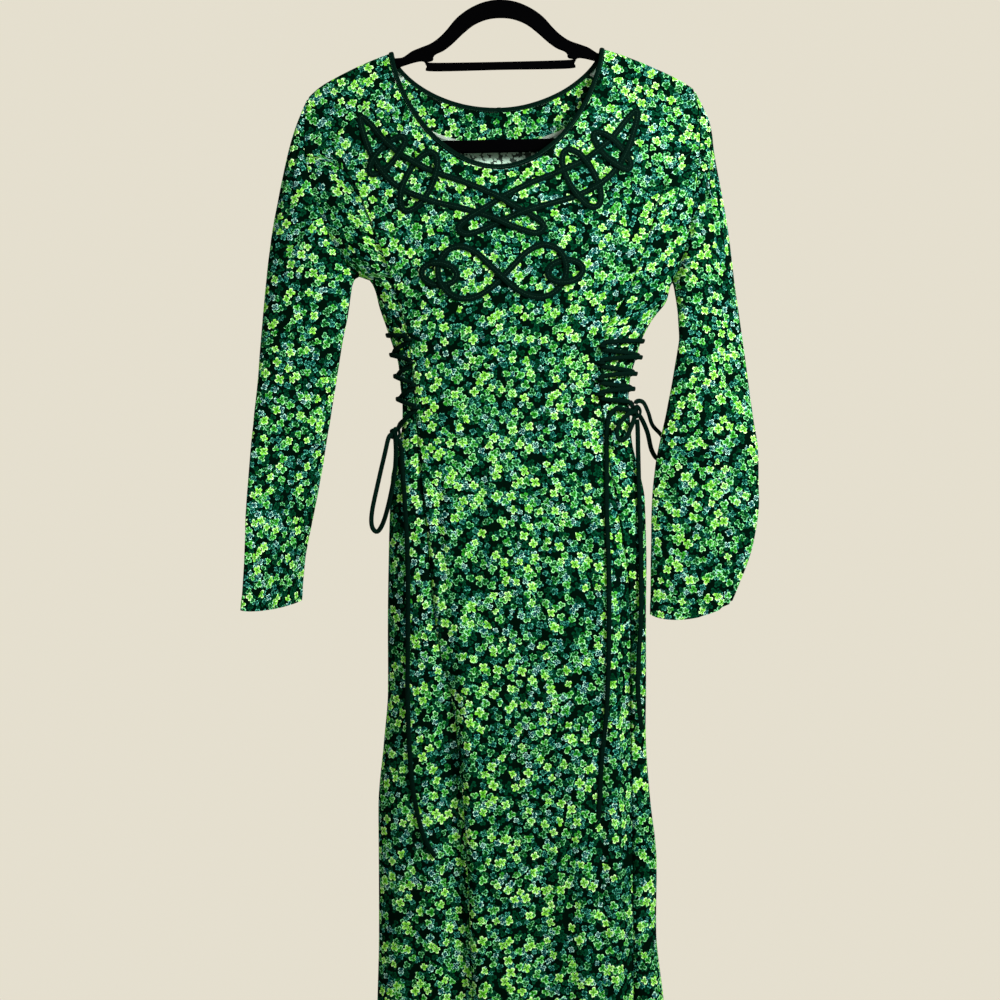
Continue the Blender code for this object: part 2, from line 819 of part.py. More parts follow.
def outside_knot(points, centre):
    """The stretch of a route that stays clear of its knot."""
    reach = [half + LACE_CLEAR_MM for half in KNOT_HALF_MM]

    def distance(point):
        return math.sqrt(sum(((point[k] - centre[k]) / reach[k]) ** 2 for k in range(3)))

    kept = []
    for start, end in zip(points, points[1:]):
        inside_start = distance(start) < 1.0
        inside_end = distance(end) < 1.0
        if not inside_start:
            kept.append(start)
        if inside_start != inside_end:
            low, high = (start, end) if inside_start else (end, start)
            for _ in range(24):
                middle = low.lerp(high, 0.5)
                if distance(middle) < 1.0:
                    low = middle
                else:
                    high = middle
            if kept and (high - kept[-1]).length < 1.0:
                kept[-1] = high
            else:
                kept.append(high)
    if distance(points[-1]) >= 1.0:
        kept.append(points[-1])
    return kept


def tape_mesh(name, points, normals):
    """A flat closed tape: four corners at each point, joined to the next."""
    mesh = bmesh.new()
    count = len(points)
    rings = []
    for index, (point, normal) in enumerate(zip(points, normals)):
        along = points[(index + 1) % count] - points[index - 1]
        side = normal.cross(along).normalized()
        ring = []
        for across, up in ((-0.5, -0.5), (0.5, -0.5), (0.5, 0.5), (-0.5, 0.5)):
            corner = point + side * across * TAPE_WIDTH_MM + normal * up * TAPE_THICKNESS_MM
            ring.append(mesh.verts.new(corner * MM))
        rings.append(ring)
    for index, ring in enumerate(rings):
        ahead = rings[(index + 1) % count]
        for k in range(4):
            mesh.faces.new((ring[k], ahead[k], ahead[(k + 1) % 4], ring[(k + 1) % 4]))
    bmesh.ops.recalc_face_normals(mesh, faces=mesh.faces)
    return finish_mesh(name, mesh, 50.0)


# The chest interlace

def motif_strands():
    """Closed routes seen from the front, in millimetres."""
    def flat(points, mirror):
        sign = -1.0 if mirror else 1.0
        return [Vector((MOTIF_CENTRE_X_MM + sign * x, 0.0, z)) for x, z in points]

    def oval(size, mirror):
        lean = math.radians(size["lean"])
        points = []
        for step in range(24):
            turn = 2.0 * math.pi * step / 24
            across = size["half_width"] * math.cos(turn)
            up = size["half_height"] * math.sin(turn)
            x = size["x"] + across * math.cos(lean) - up * math.sin(lean)
            z = size["z"] + across * math.sin(lean) + up * math.cos(lean)
            points.append((x, z))
        return flat(points, mirror)

    lobes = flat(LOBE, False) + flat(LOBE, True)
    routes = {
        "chest_wing_left": flat(WING, True),
        "chest_wing_right": flat(WING, False),
        "chest_lobes": lobes,
        "chest_leaf_left": oval(LEAF_MM, True),
        "chest_leaf_right": oval(LEAF_MM, False),
        "chest_ring_left": oval(RING_MM, True),
        "chest_ring_right": oval(RING_MM, False),
    }
    strands = {}
    for name, points in routes.items():
        strands[name] = smooth_route(points, closed=True, step=TAPE_STEP_MM)[:-1]
    return strands


def crossing_share(a, b, c, d):
    """Where segment a-b meets segment c-d, as shares along both, or None."""
    ab = b - a
    cd = d - c
    turn = ab.x * cd.z - ab.z * cd.x
    if abs(turn) < 1e-9:
        return None
    ac = c - a
    first = (ac.x * cd.z - ac.z * cd.x) / turn
    second = (ac.x * ab.z - ac.z * ab.x) / turn
    if 0.0 <= first < 1.0 and 0.0 <= second < 1.0:
        return first, second
    return None


def weave(strands):
    """Over and under places of each strand, alternating along it."""
    segments = []
    for name, points in strands.items():
        for index, point in enumerate(points):
            segments.append((name, index, point, points[(index + 1) % len(points)]))
    events = {name: [] for name in strands}
    partner = {}
    for i, (name_a, index_a, a, b) in enumerate(segments):
        for name_b, index_b, c, d in segments[i + 1:]:
            if abs(a.x - c.x) > 6.0 or abs(a.z - c.z) > 6.0:
                continue
            apart = (index_b - index_a) % len(strands[name_a])
            if name_a == name_b and apart in (1, len(strands[name_a]) - 1):
                continue
            shares = crossing_share(a, b, c, d)
            if shares is None:
                continue
            first = (name_a, index_a + shares[0])
            second = (name_b, index_b + shares[1])
            events[name_a].append(first)
            events[name_b].append(second)
            partner[first] = second
            partner[second] = first
    over = {}
    for name in events:
        events[name].sort()
    for name in events:
        for start in events[name][:1]:
            if start in over:
                continue
            waiting = [(start, True)]
            while waiting:
                event, is_over = waiting.pop()
                if event in over:
                    continue
                over[event] = is_over
                waiting.append((partner[event], not is_over))
                line = events[event[0]]
                place = line.index(event)
                waiting.append((line[(place + 1) % len(line)], not is_over))
                waiting.append((line[place - 1], not is_over))
    return {name: [event[1] for event in line if over[event]] for name, line in events.items()}


def tape_heights(points, over_places, low, high):
    """The height of a strand above the cloth at each of its points."""
    count = len(points)
    step = (points[1] - points[0]).length
    heights = []
    for index in range(count):
        lift = 0.0
        for place in over_places:
            away = abs(index - place)
            away = min(away, count - away) * step
            lift = max(lift, 1.0 - ease((away - OVER_PLATEAU_MM) / OVER_RAMP_MM))
        heights.append(low + (high - low) * lift)
    return heights


def add_chest_interlace(material):
    low = 0.5 * CLOTH_MM + TAPE_LIFT_MM + 0.5 * TAPE_THICKNESS_MM
    high = low + TAPE_THICKNESS_MM + GAP_MM + 0.5
    strands = motif_strands()
    over_places = weave(strands)
    for name, flat in strands.items():
        heights = tape_heights(flat, over_places[name], low, high)
        points = []
        normals = []
        for index in range(0, len(flat) - 1, TAPE_STRIDE):
            normal = body_normal("front", flat[index].x, flat[index].z)
            on_cloth = body_point("front", flat[index].x, flat[index].z)
            points.append(on_cloth + normal * heights[index])
            normals.append(normal)
        add_mesh(name, tape_mesh(name, points, normals), material)


# The side lacing

def side_point(side, share, z):
    """A place on a side panel, from its front seam (0) round the side edge (0.5) to its back seam."""
    face = "front" if share < 0.5 else "back"
    start = turn_of_x(z, seam_x(face, side, z))
    along = 1.0 - abs(2.0 * share - 1.0)
    return body_point(face, x_at_turn(side, z, start + (1.0 - start) * along), z)


def side_normal(side, share, z):
    across = side_point(side, share + 0.02, z) - side_point(side, share - 0.02, z)
    down = side_point(side, share, z - 1.0) - side_point(side, share, z + 1.0)
    normal = across.cross(down).normalized()
    return -normal if (normal.x > 0.0) == (side == "left") else normal


def lifted(side, share, z, height):
    return side_point(side, share, z) + side_normal(side, share, z) * height


def side_route(stops):
    """A smooth run of (share in hundredths, z, height) through (share, z, height) stops."""
    places = [Vector((100.0 * share, z, height)) for share, z, height in stops]
    return smooth_route(places, step=1.0)


def on_side(side, place):
    return lifted(side, place.x / 100.0, place.y, place.z)


def knot_centre(side):
    share, z = LACING[side]["knot"]
    return lifted(side, share, z, KNOT_LIFT_MM)


def add_lacing(side, material):
    """Two runs that cross at the side edge between each pair of loops, tied below the last."""
    levels = LACING[side]["levels"]
    low = 0.5 * CLOTH_MM + GAP_MM + 0.4 + 0.5 * LACE_MM
    high = low + LACE_MM + GAP_MM + 0.4
    knot_share, knot_z = LACING[side]["knot"]
    start = levels[0] + 8.0
    runs = {"a": [(0.84, start, low), (0.5, start, low + EDGE_LIFT_MM)], "b": []}
    for number, level in enumerate(levels):
        for name, stops in runs.items():
            in_front = (name == "a") == (number % 2 == 0)
            share = 0.0 if in_front else 1.0
            if number:
                middle = 0.5 * (level + levels[number - 1])
                height = EDGE_LIFT_MM + (high if in_front else low)
                onward = -0.12 if in_front else 0.12
                stops.append((0.5 - onward, middle + 1.0, height))
                stops.append((0.5, middle, height))
                stops.append((0.5 + onward, middle - 1.0, height))
            near = TURN_REACH if in_front else 1.0 - TURN_REACH
            stops.append((near, level + TURN_HALF_MM, low + 0.6))
            stops.append((share, level + 0.55 * TURN_HALF_MM, low))
            stops.append((share, level - 0.55 * TURN_HALF_MM, low))
            stops.append((near, level - TURN_HALF_MM, low + 0.6))
    centre = knot_centre(side)
    places = {}
    for name, stops in runs.items():
        from_front = stops[-1][0] < 0.5
        near = knot_share - 0.1 if from_front else knot_share + 0.12
        stops.append((near, knot_z + 11.0, low + 2.0))
        places[name] = side_route(stops)
        route = even_points([on_side(side, place) for place in places[name]] + [centre], 1.0)
        route = thin_route(outside_knot(route, centre), ROUTE_TOLERANCE_MM, LACE_LONGEST_MM)
        add_cord(f"lacing_{side}_{name}", route, LACE_MM, material)
    add_knot(f"lace_knot_{side}", centre, material)
    for face, share in (("front", 0.0), ("back", 1.0)):
        for number, level in enumerate(levels):
            name = "a" if (face == "front") == (number % 2 == 0) else "b"
            add_loop(f"loop_{side}_{face}_{number + 1}", side, share, level, places[name], material)


def add_loop(name, side, share, level, places, material):
    """A small fabric loop over the lace where it turns, with both feet on the seam's cloth."""
    near = [i for i in range(1, len(places) - 1) if abs(places[i].x - 100.0 * share) < 20.0]
    index = min(near, key=lambda i: abs(places[i].y - level))
    place = places[index]
    base = side_point(side, place.x / 100.0, place.y)
    normal = side_normal(side, place.x / 100.0, place.y)
    along = on_side(side, places[index + 1]) - on_side(side, places[index - 1])
    across = along.cross(normal).normalized()
    foot = 0.5 * CLOTH_MM + GAP_MM + 0.2 * LOOP_CORD_MM
    points = []
    for step in range(LOOP_STEPS + 1):
        turn = math.pi * step / LOOP_STEPS
        out = foot + (LOOP_RISE_MM - foot) * math.sin(turn) ** 0.7
        points.append(base + across * LOOP_HALF_WIDTH_MM * math.cos(turn) + normal * out)
    add_cord(name, points, LOOP_CORD_MM, material)


def add_knot(name, centre, material):
    mesh = bmesh.new()
    bmesh.ops.create_uvsphere(mesh, u_segments=10, v_segments=6, radius=1.0)
    size = Vector(KNOT_HALF_MM) * MM
    bmesh.ops.scale(mesh, vec=size, verts=mesh.verts)
    data = finish_mesh(name, mesh, 50.0)
    knot = add_mesh(name, data, material)
    knot.location = centre * MM


def add_lace_ends(material):
    lift = 0.5 * CLOTH_MM + GAP_MM + 0.4 + 0.5 * LACE_MM
    for name, table in LACE_ENDS.items():
        side = "left" if "left" in name else "right"
        route = [knot_centre(side)]
        for x, y, z in table:
            if y is None:
                route.append(body_point("front", x, z) + body_normal("front", x, z) * lift)
            else:
                route.append(Vector((x, y, z)))
        route = outside_knot(smooth_route(route, step=1.0), knot_centre(side))
        add_cord(name, thin_route(route, ROUTE_TOLERANCE_MM, TAIL_LONGEST_MM), LACE_MM, material)
    for name, table in LACE_BOWS.items():
        side = "left" if "left" in name else "right"
        centre = knot_centre(side)
        route = smooth_route([centre] + [Vector(row) for row in table] + [centre], step=1.0)
        route = thin_route(outside_knot(route, centre), ROUTE_TOLERANCE_MM, LACE_LONGEST_MM)
        add_cord(name, route, LACE_MM, material)


# Neck and hanger

def add_neck_binding(material):
    """A bias binding whose points stand beside those of the panels' edges."""
    points = []
    for face in ("front", "back"):
        angles = (0.0,) + NECK_COLUMN_ANGLES[face]
        if face == "back":
            angles = [180.0 - angle for angle in angles]
        for angle in angles:
            x, z = neck_point(face, angle)
            points.append(body_point(face, x, z))
    add_cord("neck_binding", points, 2.0 * BINDING_RADIUS_MM, material, closed=True)


def add_back_neck_facing(material):
    """A facing inside the back, cut parallel to the neckline."""
    cut = BINDING_RADIUS_MM + NECK_GAP_MM
    rows = []
    normals = {}
    for depth in (0.0, 0.5 * FACING_DEPTH_MM, FACING_DEPTH_MM):
        row = []
        for step in range(11):
            x, z = neck_point("back", 30.0 + 12.0 * step, cut + depth)
            point = body_point("back", x, z)
            normals[key_of(point)] = body_normal("back", x, z)
            row.append(point)
        rows.append(row)
    grid = Grid(rows, seams=(), flip=True)
    shift = -(0.5 * CLOTH_MM + TAPE_LIFT_MM + 0.5 * FACING_CLOTH_MM)
    data = wall_mesh("back_neck_facing", [grid], normals, FACING_CLOTH_MM, shift)
    add_mesh("back_neck_facing", data, material)


def arm_top(x):
    """The upper edge of the hanger's arm, which dips under the neck binding."""
    cloth_z = min(shoulder_top(x), shoulder_top(-x))
    near_neck = math.exp(-((x - 116.0) / 13.0) ** 4)
    return cloth_z - ARM_BELOW_CLOTH_MM - (ARM_BELOW_BINDING_MM - ARM_BELOW_CLOTH_MM) * near_neck


def mirrored(points):
    """A right-hand outline from top to bottom, and its left-hand copy back to the top."""
    return points + [(-x, z) for x, z in reversed(points) if x]


def add_hanger(material):
    """A flat frame: hump, arms, bottom bar, and a small tie bar under the hump."""
    arm_places = (125.0, 135.0, 150.0, 165.0, 180.0, 193.0, 201.0)
    hump = [(0.0, -92.4), (16.0, -94.6), (29.0, -99.5), (40.0, -106.0), (49.0, -113.5), (58.0, -124.0),
            (66.0, -132.0), (76.0, -139.0), (88.0, -143.6), (97.0, -147.2), (103.0, -151.2),
            (108.0, -154.0), (116.0, -154.8)]
    arm = [(x, arm_top(x)) for x in arm_places]
    end = [(206.5, -197.0), (209.0, -204.0), (208.0, -214.0), (203.0, -228.0), (195.0, -241.0),
           (184.0, -251.0), (170.0, -257.5), (154.0, -259.7)]
    outer = mirrored(hump + arm + end)
    arch = [(0.0, -112.0), (14.0, -113.5), (28.0, -119.0), (40.0, -128.0), (52.0, -139.0), (62.0, -146.5),
            (70.0, -150.0), (73.5, -153.0), (73.5, -157.0), (70.0, -160.5)]
    upper_hole = mirrored(arch)
    under_arm = [(x, arm_top(x) - ARM_HEIGHT_MM) for x in (125.0, 135.0, 150.0, 165.0, 180.0)]
    lower = [(0.0, -169.0), (76.0, -169.0), (81.0, -164.5), (84.0, -158.5), (92.0, -158.5),
             (108.0, -163.0)] + under_arm
    lower += [(190.0, -204.5), (195.5, -211.0), (194.5, -219.0), (188.5, -229.5), (178.5, -238.5),
              (166.0, -244.0), (152.0, -246.0)]
    lower_hole = mirrored(lower)
    curve = bpy.data.curves.new("hanger_frame", "CURVE")
    curve.dimensions = "2D"
    curve.fill_mode = "BOTH"
    curve.extrude = 0.5 * HANGER_THICKNESS_MM * MM
    for outline in (outer, upper_hole, lower_hole):
        spline = curve.splines.new("POLY")
        spline.points.add(len(outline) - 1)
        for point, (x, z) in zip(spline.points, outline):
            point.co = (x * MM, z * MM, 0.0, 1.0)
        spline.use_cyclic_u = True
    frame = place("hanger_frame", curve, material)
    frame.rotation_euler = (0.5 * math.pi, 0.0, 0.0)


def add_hook(material):
    """A wire hook: a straight stem, a bend to the right and a bow over the top to the left."""
    radius = HOOK_BOW_RADIUS_MM + 0.5 * HOOK_WIRE_MM
    middle_z = -HOOK_BOW_RADIUS_MM
    stem_low = -92.4 + GAP_MM
    points = [Vector((0.0, 0.0, z)) for z in (stem_low, -84.0, -76.0, -68.0, -60.0)]
    route = [Vector((0.0, 0.0, -60.0)), Vector((0.8, 0.0, -53.0)), Vector((4.6, 0.0, -45.5))]
    for step in range(17):
        turn = math.radians(-62.0 + 258.0 * step / 16)
        route.append(Vector((radius * math.cos(turn), 0.0, middle_z + radius * math.sin(turn))))
    points += thin_route(smooth_route(route, step=0.5), ROUTE_TOLERANCE_MM, LACE_LONGEST_MM)[1:]
    add_cord("hanger_hook", points, HOOK_WIRE_MM, material)


# Objects

def place(name, data, material):
    thing = bpy.data.objects.new(name, data)
    data.materials.append(material)
    bpy.data.collections["maxi_dress_on_hanger"].objects.link(thing)
    thing.parent = bpy.data.objects["dress_origin"]
    return thing


def add_mesh(name, data, material):
    return place(name, data, material)


def add_cord(name, points, diameter, material, closed=False):
    curve = bpy.data.curves.new(name, "CURVE")
    curve.dimensions = "3D"
    curve.bevel_depth = 0.5 * diameter * MM
    curve.bevel_resolution = 2
    curve.use_fill_caps = True
    curve.twist_mode = "MINIMUM"
    spline = curve.splines.new("POLY")
    spline.points.add(len(points) - 1)
    for control, point in zip(spline.points, points):
        control.co = (*(point * MM), 1.0)
    spline.use_cyclic_u = closed
    spline.use_smooth = True
    return place(name, curve, material)


def new_material(name, colour, roughness, metallic=0.0):
    material = bpy.data.materials.new(name)
    material.use_nodes = True
    shader = material.node_tree.nodes["Principled BSDF"]
    shader.inputs["Base Color"].default_value = (*colour, 1.0)
    shader.inputs["Roughness"].default_value = roughness
    shader.inputs["Metallic"].default_value = metallic
    return material


def garment_grids():
    """Every cloth piece of the body and the sleeves, as grids in one surface."""
    pieces = {
        "front_panel": [Grid(middle_panel("front"), ("top", "first", "last"))],
        "back_panel": [Grid(middle_panel("back"), ("top", "first", "last"), flip=True)],
    }
    for side in ("left", "right"):
        heights = [z for z in ROW_HEIGHTS_MM if z < SEAM_START_Z_MM]
        armpit = (heights.index(ARMPIT_Z_MM[side]), SIDE_STEPS)
        outward = -1.0 if side == "left" else 1.0
        push = Vector((-0.6 * outward * GAP_MM, 0.0, -0.5 * GAP_MM))
        halves = []
        for face in ("front", "back"):
            flip = (side == "left") == (face == "front")
            rows = side_half(face, side)
            seams = ("top", "first", "last")
            halves.append(Grid(rows, seams, flip=flip, armpit=armpit, push=push))
        pieces[f"side_panel_{side}"] = halves
        rings = sleeve_grid(side)
        armpit = (0, len(rings[0]) // 2)
        push = Vector((0.6 * outward * GAP_MM, 0.0, -0.3 * GAP_MM))
        sleeve = Grid(rings, ("top",), closed=True, flip=side == "right", armpit=armpit, push=push)
        pieces[f"sleeve_{side}"] = [sleeve]
    return pieces


def main():
    for thing in list(bpy.data.objects):
        bpy.data.objects.remove(thing, do_unlink=True)
    collection = bpy.data.collections.new("maxi_dress_on_hanger")
    bpy.context.scene.collection.children.link(collection)
    origin = bpy.data.objects.new("dress_origin", None)
    collection.objects.link(origin)
    cloth = new_material("printed_cloth", CLOTH_COLOUR, 0.75)
    trim = new_material("dark_green_cloth", TRIM_COLOUR, 0.7)
    velvet = new_material("black_hanger", HANGER_COLOUR, 0.85)
    metal = new_material("hook_wire", METAL_COLOUR, 0.25, 1.0)
    pieces = garment_grids()
    normals = outward_normals([grid for grids in pieces.values() for grid in grids])
    for side in ("left", "right"):
        loop, heights = armhole_loop(side)
        normals[key_of(loop[len(heights) - 1])] = Vector((0.0, 0.0, -1.0))
    for name, grids in pieces.items():
        add_mesh(name, wall_mesh(name, grids, normals, CLOTH_MM), cloth)
    add_neck_binding(trim)
    add_back_neck_facing(cloth)
    add_chest_interlace(trim)
    for side in ("left", "right"):
        add_lacing(side, trim)
    add_lace_ends(trim)
    add_hanger(velvet)
    add_hook(metal)


main()
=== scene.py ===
"""How the maxi dress and its hanger look: finer cloth, laces, materials, lights and a camera.

The tables of shapes and the constants ending in _MM are in millimetres. The sheets' cuts, the
print, the room, the lights and the camera are in metres. +X is to the right of someone who looks
at the front, the front faces -Y and +Z is up. The fine cloth is the part's own surface with closer
rows, creases and sunk seams, and each piece of it is a thin shell.
"""

import math
from dataclasses import dataclass
from functools import lru_cache

import bpy
import numpy as np
from mathutils import Matrix, Vector, noise


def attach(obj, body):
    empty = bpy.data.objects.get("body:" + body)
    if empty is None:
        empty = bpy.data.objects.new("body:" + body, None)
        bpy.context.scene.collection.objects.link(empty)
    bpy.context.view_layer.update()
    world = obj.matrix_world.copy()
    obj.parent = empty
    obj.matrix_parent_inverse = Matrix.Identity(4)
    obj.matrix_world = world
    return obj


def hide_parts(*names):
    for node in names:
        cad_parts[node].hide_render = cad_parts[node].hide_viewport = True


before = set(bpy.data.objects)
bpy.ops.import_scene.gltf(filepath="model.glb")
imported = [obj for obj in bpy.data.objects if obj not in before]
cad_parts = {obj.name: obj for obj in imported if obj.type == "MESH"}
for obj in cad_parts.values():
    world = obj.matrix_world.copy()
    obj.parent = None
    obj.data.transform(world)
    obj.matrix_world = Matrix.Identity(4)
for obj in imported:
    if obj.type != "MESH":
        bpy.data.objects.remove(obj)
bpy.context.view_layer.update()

MM = 0.001
SIDES = ("left", "right")
SIDE_SIGN = {"left": -1, "right": 1}
SIDE_COLUMN = {"left": 1, "right": 2}
FACES = ("front", "back")

# Heights
NECK_POINT_Z_MM = -149.5
ARMPIT_Z_MM = {"left": -393, "right": -406}
SEAM_START_Z_MM = -262
HEM_Z_MM = -1550

# Neck opening, to the middle of its binding
NECK_CENTRE_X_MM = -4
NECK_HALF_WIDTH_MM = 116
NECK_DROP_MM = {"front": 132, "back": 62}
NECK_POWER = 1.35
BINDING_RADIUS_MM = 2.3
FACING_DEPTH_MM = 36
FACING_ANGLES = (30, 150)
NECK_CUT_MM = BINDING_RADIUS_MM + 0.5
CLOTH_MM = 1.4

# The fold of the cloth over the hanger's arms
SHOULDER_FOLD_MM = 6
SHOULDER_EASE_MM = 130
SECTION_POWER = 2.2

# Bands and cords, each with its width and thickness
TAPE_MM = (6.8, 1.6)
LACE_MM = (5.2, 2.9)
KNOT_LACE_MM = (4.4, 3.2)
LOOP_MM = (1.9, 2.6)
BINDING_MM = (5.6, 4.2)
JOIN_MM = (6.3, 4.9)
FINE_STEP_MM = 1.6
TAPE_AIR_MM = 0.12
KNOT_HALF_MM = (5, 5, 8.5)
KNOT_RING_MM = (3.1, 1.9)
KNOT_RISE_MM = (5.2, 1.2)
LACE_CLEAR_MM = 0.8
LACE_AIR_MM = 0.3
LACING_AIR_MM = 0.35
LOOP_AIR_MM = 2.2
LOOP_FOOT_MM = 0.3
BINDING_STITCH_MM = (1.75, 1.72)
OVERLOCK_LIFT_MM = 0.45

# The applied interlace on the chest, right half: distance from its middle, and height
MOTIF_CENTRE_X_MM = -3
WING = (
    # x, z
    (151, -221), (139, -231), (122, -252), (98, -272), (68, -287), (36, -299), (8, -312), (-16, -326),
    (-36, -338), (-46, -348), (-37, -355), (-14, -348), (10, -337), (40, -327), (80, -316), (112, -300),
    (135, -273), (148, -240),
)
LOBE = (
    # x, z, from the crossing in the middle round the right lobe and back to it
    (0, -402), (14, -388), (28, -375), (45, -368), (61, -374), (69, -390), (66, -408), (53, -421),
    (35, -424), (16, -416),
)
LEAF_MM = {"x": 68, "z": -397, "half_width": 19, "half_height": 12, "lean": 8}
RING_MM = {"x": 88, "z": -296, "half_width": 14.5, "half_height": 35, "lean": 27}
UPPER_RING_MM = {"x": 122, "z": -266, "half_width": 9.5, "half_height": 27, "lean": 43}
OVER_PLATEAU_MM = 6.5
OVER_RAMP_MM = 7
TAPE_STEP_MM = 2.5
CROSSING_REACH_MM = 6

# Side lacing. The levels are the heights of the loops on both seams of a side panel.
LACING = {
    "left": {"levels": (-466, -491, -516, -541), "knot": (0.4, -569)},
    "right": {"levels": (-478, -496, -514, -531), "knot": (0.44, -549)},
}
KNOT_LIFT_MM = 8
LOOP_HALF_WIDTH_MM = 5
TURN_REACH = 0.1
TURN_HALF_MM = 5.4
EDGE_LIFT_MM = 0.6

# What hangs from the knots. A cord with no depth of its own lies on the front of the skirt.
LACE_ENDS = {
    "lace_tail_left": (
        # x, y, z
        (-117.5, None, -583), (-116.5, None, -600), (-114, None, -645), (-112, None, -712),
        (-113.5, None, -794), (-115, None, -850), (-114, None, -905), (-111, None, -952),
        (-101.5, None, -999), (-88, None, -1024),
    ),
    "lace_tail_right_in": (
        (122.5, None, -546), (113, None, -549), (107.5, None, -566), (105.5, None, -615),
        (104.5, None, -657), (105, None, -733), (102.5, None, -821), (98.5, None, -880),
        (93.5, None, -921), (88, None, -988),
    ),
    "lace_tail_right_out": (
        (141.5, -7.5, -562), (141.5, -10.5, -575), (141, -14.5, -595), (141, -17, -637),
        (141.5, -19, -680), (141, -20.5, -722), (139.5, -22, -776), (136.5, -23.5, -812),
        (134.5, -25, -851), (137.5, -22, -893),
    ),
}
LACE_BOWS = {
    "lace_bow_left": (
        # x, y, z
        (-130, -14.5, -571), (-135, -17.5, -590), (-143, -19, -622), (-150, -18, -652),
        (-150.5, -17, -668), (-145, -16, -674), (-138, -18, -664), (-130.5, -24, -641),
        (-124, -29, -612), (-122, -28, -588),
    ),
    "lace_bow_right_out": (
        (141, -3, -538), (149, 1, -538), (155, 6, -549), (160, 11, -563), (170, 16, -574),
        (175, 18, -585), (172, 18, -597), (165, 16, -600), (158.5, 13, -590), (154, 9, -571),
        (147, 2, -556),
    ),
    "lace_bow_right_in": (
        (138, -14, -549), (131, -21, -552), (122, -27, -560), (117, -30, -572), (121, -30.5, -581),
        (128, -27, -577), (132.5, -20, -568), (136.5, -13.5, -560),
    ),
}

# The hanger, right half: x and z from top to bottom. Between the ends its arm follows the shoulder.
HANGER_TOP = (
    (0, -92.4), (16, -94.6), (29, -99.5), (40, -106), (49, -113.5), (58, -124), (66, -132), (76, -139),
    (88, -143.6), (97, -147.2), (103, -151.2), (108, -154), (116, -154.8),
)
HANGER_END = (
    (206.5, -197), (209, -204), (208, -214), (203, -228), (195, -241), (184, -251), (170, -257.5),
    (154, -259.7),
)
HANGER_ARCH = (
    (0, -112), (14, -113.5), (28, -119), (40, -128), (52, -139), (62, -146.5), (70, -150), (73.5, -153),
    (73.5, -157), (70, -160.5),
)
HANGER_BARS = ((0, -169), (76, -169), (81, -164.5), (84, -158.5), (92, -158.5), (108, -163))
HANGER_INNER_END = (
    (190, -204.5), (195.5, -211), (194.5, -219), (188.5, -229.5), (178.5, -238.5), (166, -244),
    (152, -246),
)
ARM_PLACES_MM = (125, 135, 150, 165, 180, 193, 201)
HANGER_THICKNESS_MM = 5
HANGER_EDGE_MM = 1
ARM_HEIGHT_MM = 12.5
ARM_BELOW_CLOTH_MM = 1.9
ARM_BELOW_BINDING_MM = 4.3
HOOK_WIRE_MM = 3.6
HOOK_BOW_RADIUS_MM = 17
HOOK_STEM_MM = ((0, -92.2), (0, -84), (0, -76), (0, -68), (0, -60), (0.8, -53), (4.6, -45.5))

# Side edges and half depths of the body. Above the armpits the edges are those of a wider ring
# that the armholes cut into.
BODY_SECTIONS = (
    # z, left edge, right edge, front depth, back depth
    (-150, -262, 262, 7, 7), (-200, -258, 258, 15, 10), (-285, -236, 240, 25, 16),
    (-350, -200, 214, 30, 19), (-380, -176, 200, 31, 20), (-393, -160, 192, 31, 20),
    (-397, -149, 189.5, 31, 20), (-406, -143.5, 184, 31, 20), (-412, -141.5, 180.5, 31, 20),
    (-426, -138.5, 177, 30.5, 20), (-448, -131.5, 160, 29, 20), (-470, -124.5, 148, 27.5, 20),
    (-491, -118.5, 141, 25.5, 19), (-513, -117, 134.5, 24, 18.5), (-535, -115, 132.5, 23, 18),
    (-555, -115.5, 133.5, 23, 18), (-580, -120, 135, 24, 19), (-618, -129.5, 143.5, 27, 21),
    (-646, -131, 148, 29, 23), (-700, -133.5, 148.5, 33, 26), (-772, -136, 146.5, 36, 28),
    (-850, -137.5, 145, 38, 30), (-905, -143, 143.5, 39, 31), (-975, -150.5, 147, 40, 31),
    (-1040, -151.5, 152.5, 41, 32), (-1120, -153, 150.5, 42, 33), (-1196, -156.5, 157, 43, 34),
    (-1370, -164, 165, 46, 36), (-1550, -172, 172, 49, 38),
)

SHOULDER_LINES = (
    # distance from the middle on the left, on the right, z
    (0, 0, -137), (92, 84, -143), (120, 112, -149.5), (150, 143, -160.5), (174, 168, -171.5),
    (198, 194, -184.5), (212, 212, -196.7), (222, 222, -208),
)
SHOULDER_END_X_MM = 212

ARMHOLES = (
    # z, x on the left, x on the right
    (-190, -211, 211), (-196.7, -212, 212), (-217, -216, 215.5), (-247, -217, 217), (-290, -211, 212.5),
    (-339, -196, 205), (-377, -175, 196), (-393, -160, 190), (-406, -143.5, 184),
)

# The seams between the middle panels and the side panels
FRONT_SEAMS = (
    # z, x on the left, x on the right
    (-262, -216, 216.2), (-272, -186, 198), (-290, -165, 183), (-326, -150, 167), (-370, -134, 154),
    (-421, -118.5, 132), (-470, -107, 106), (-528, -102, 101.5), (-577, -99.5, 105), (-660, -92, 118),
    (-745, -86, 128), (-795, -81, 128.5), (-861, -67, 127.5), (-1049, -55, 125.5), (-1195, -53, 124),
    (-1550, -54, 123),
)
BACK_SEAMS = (
    # z, x on the left, x on the right
    (-262, -216, 216.2), (-272, -188, 194), (-290, -168, 176), (-326, -152, 160), (-370, -136, 146),
    (-421, -120, 128), (-470, -106, 112), (-528, -99, 104), (-577, -98, 106), (-745, -97, 110),
    (-1049, -90, 104), (-1550, -96, 108),
)

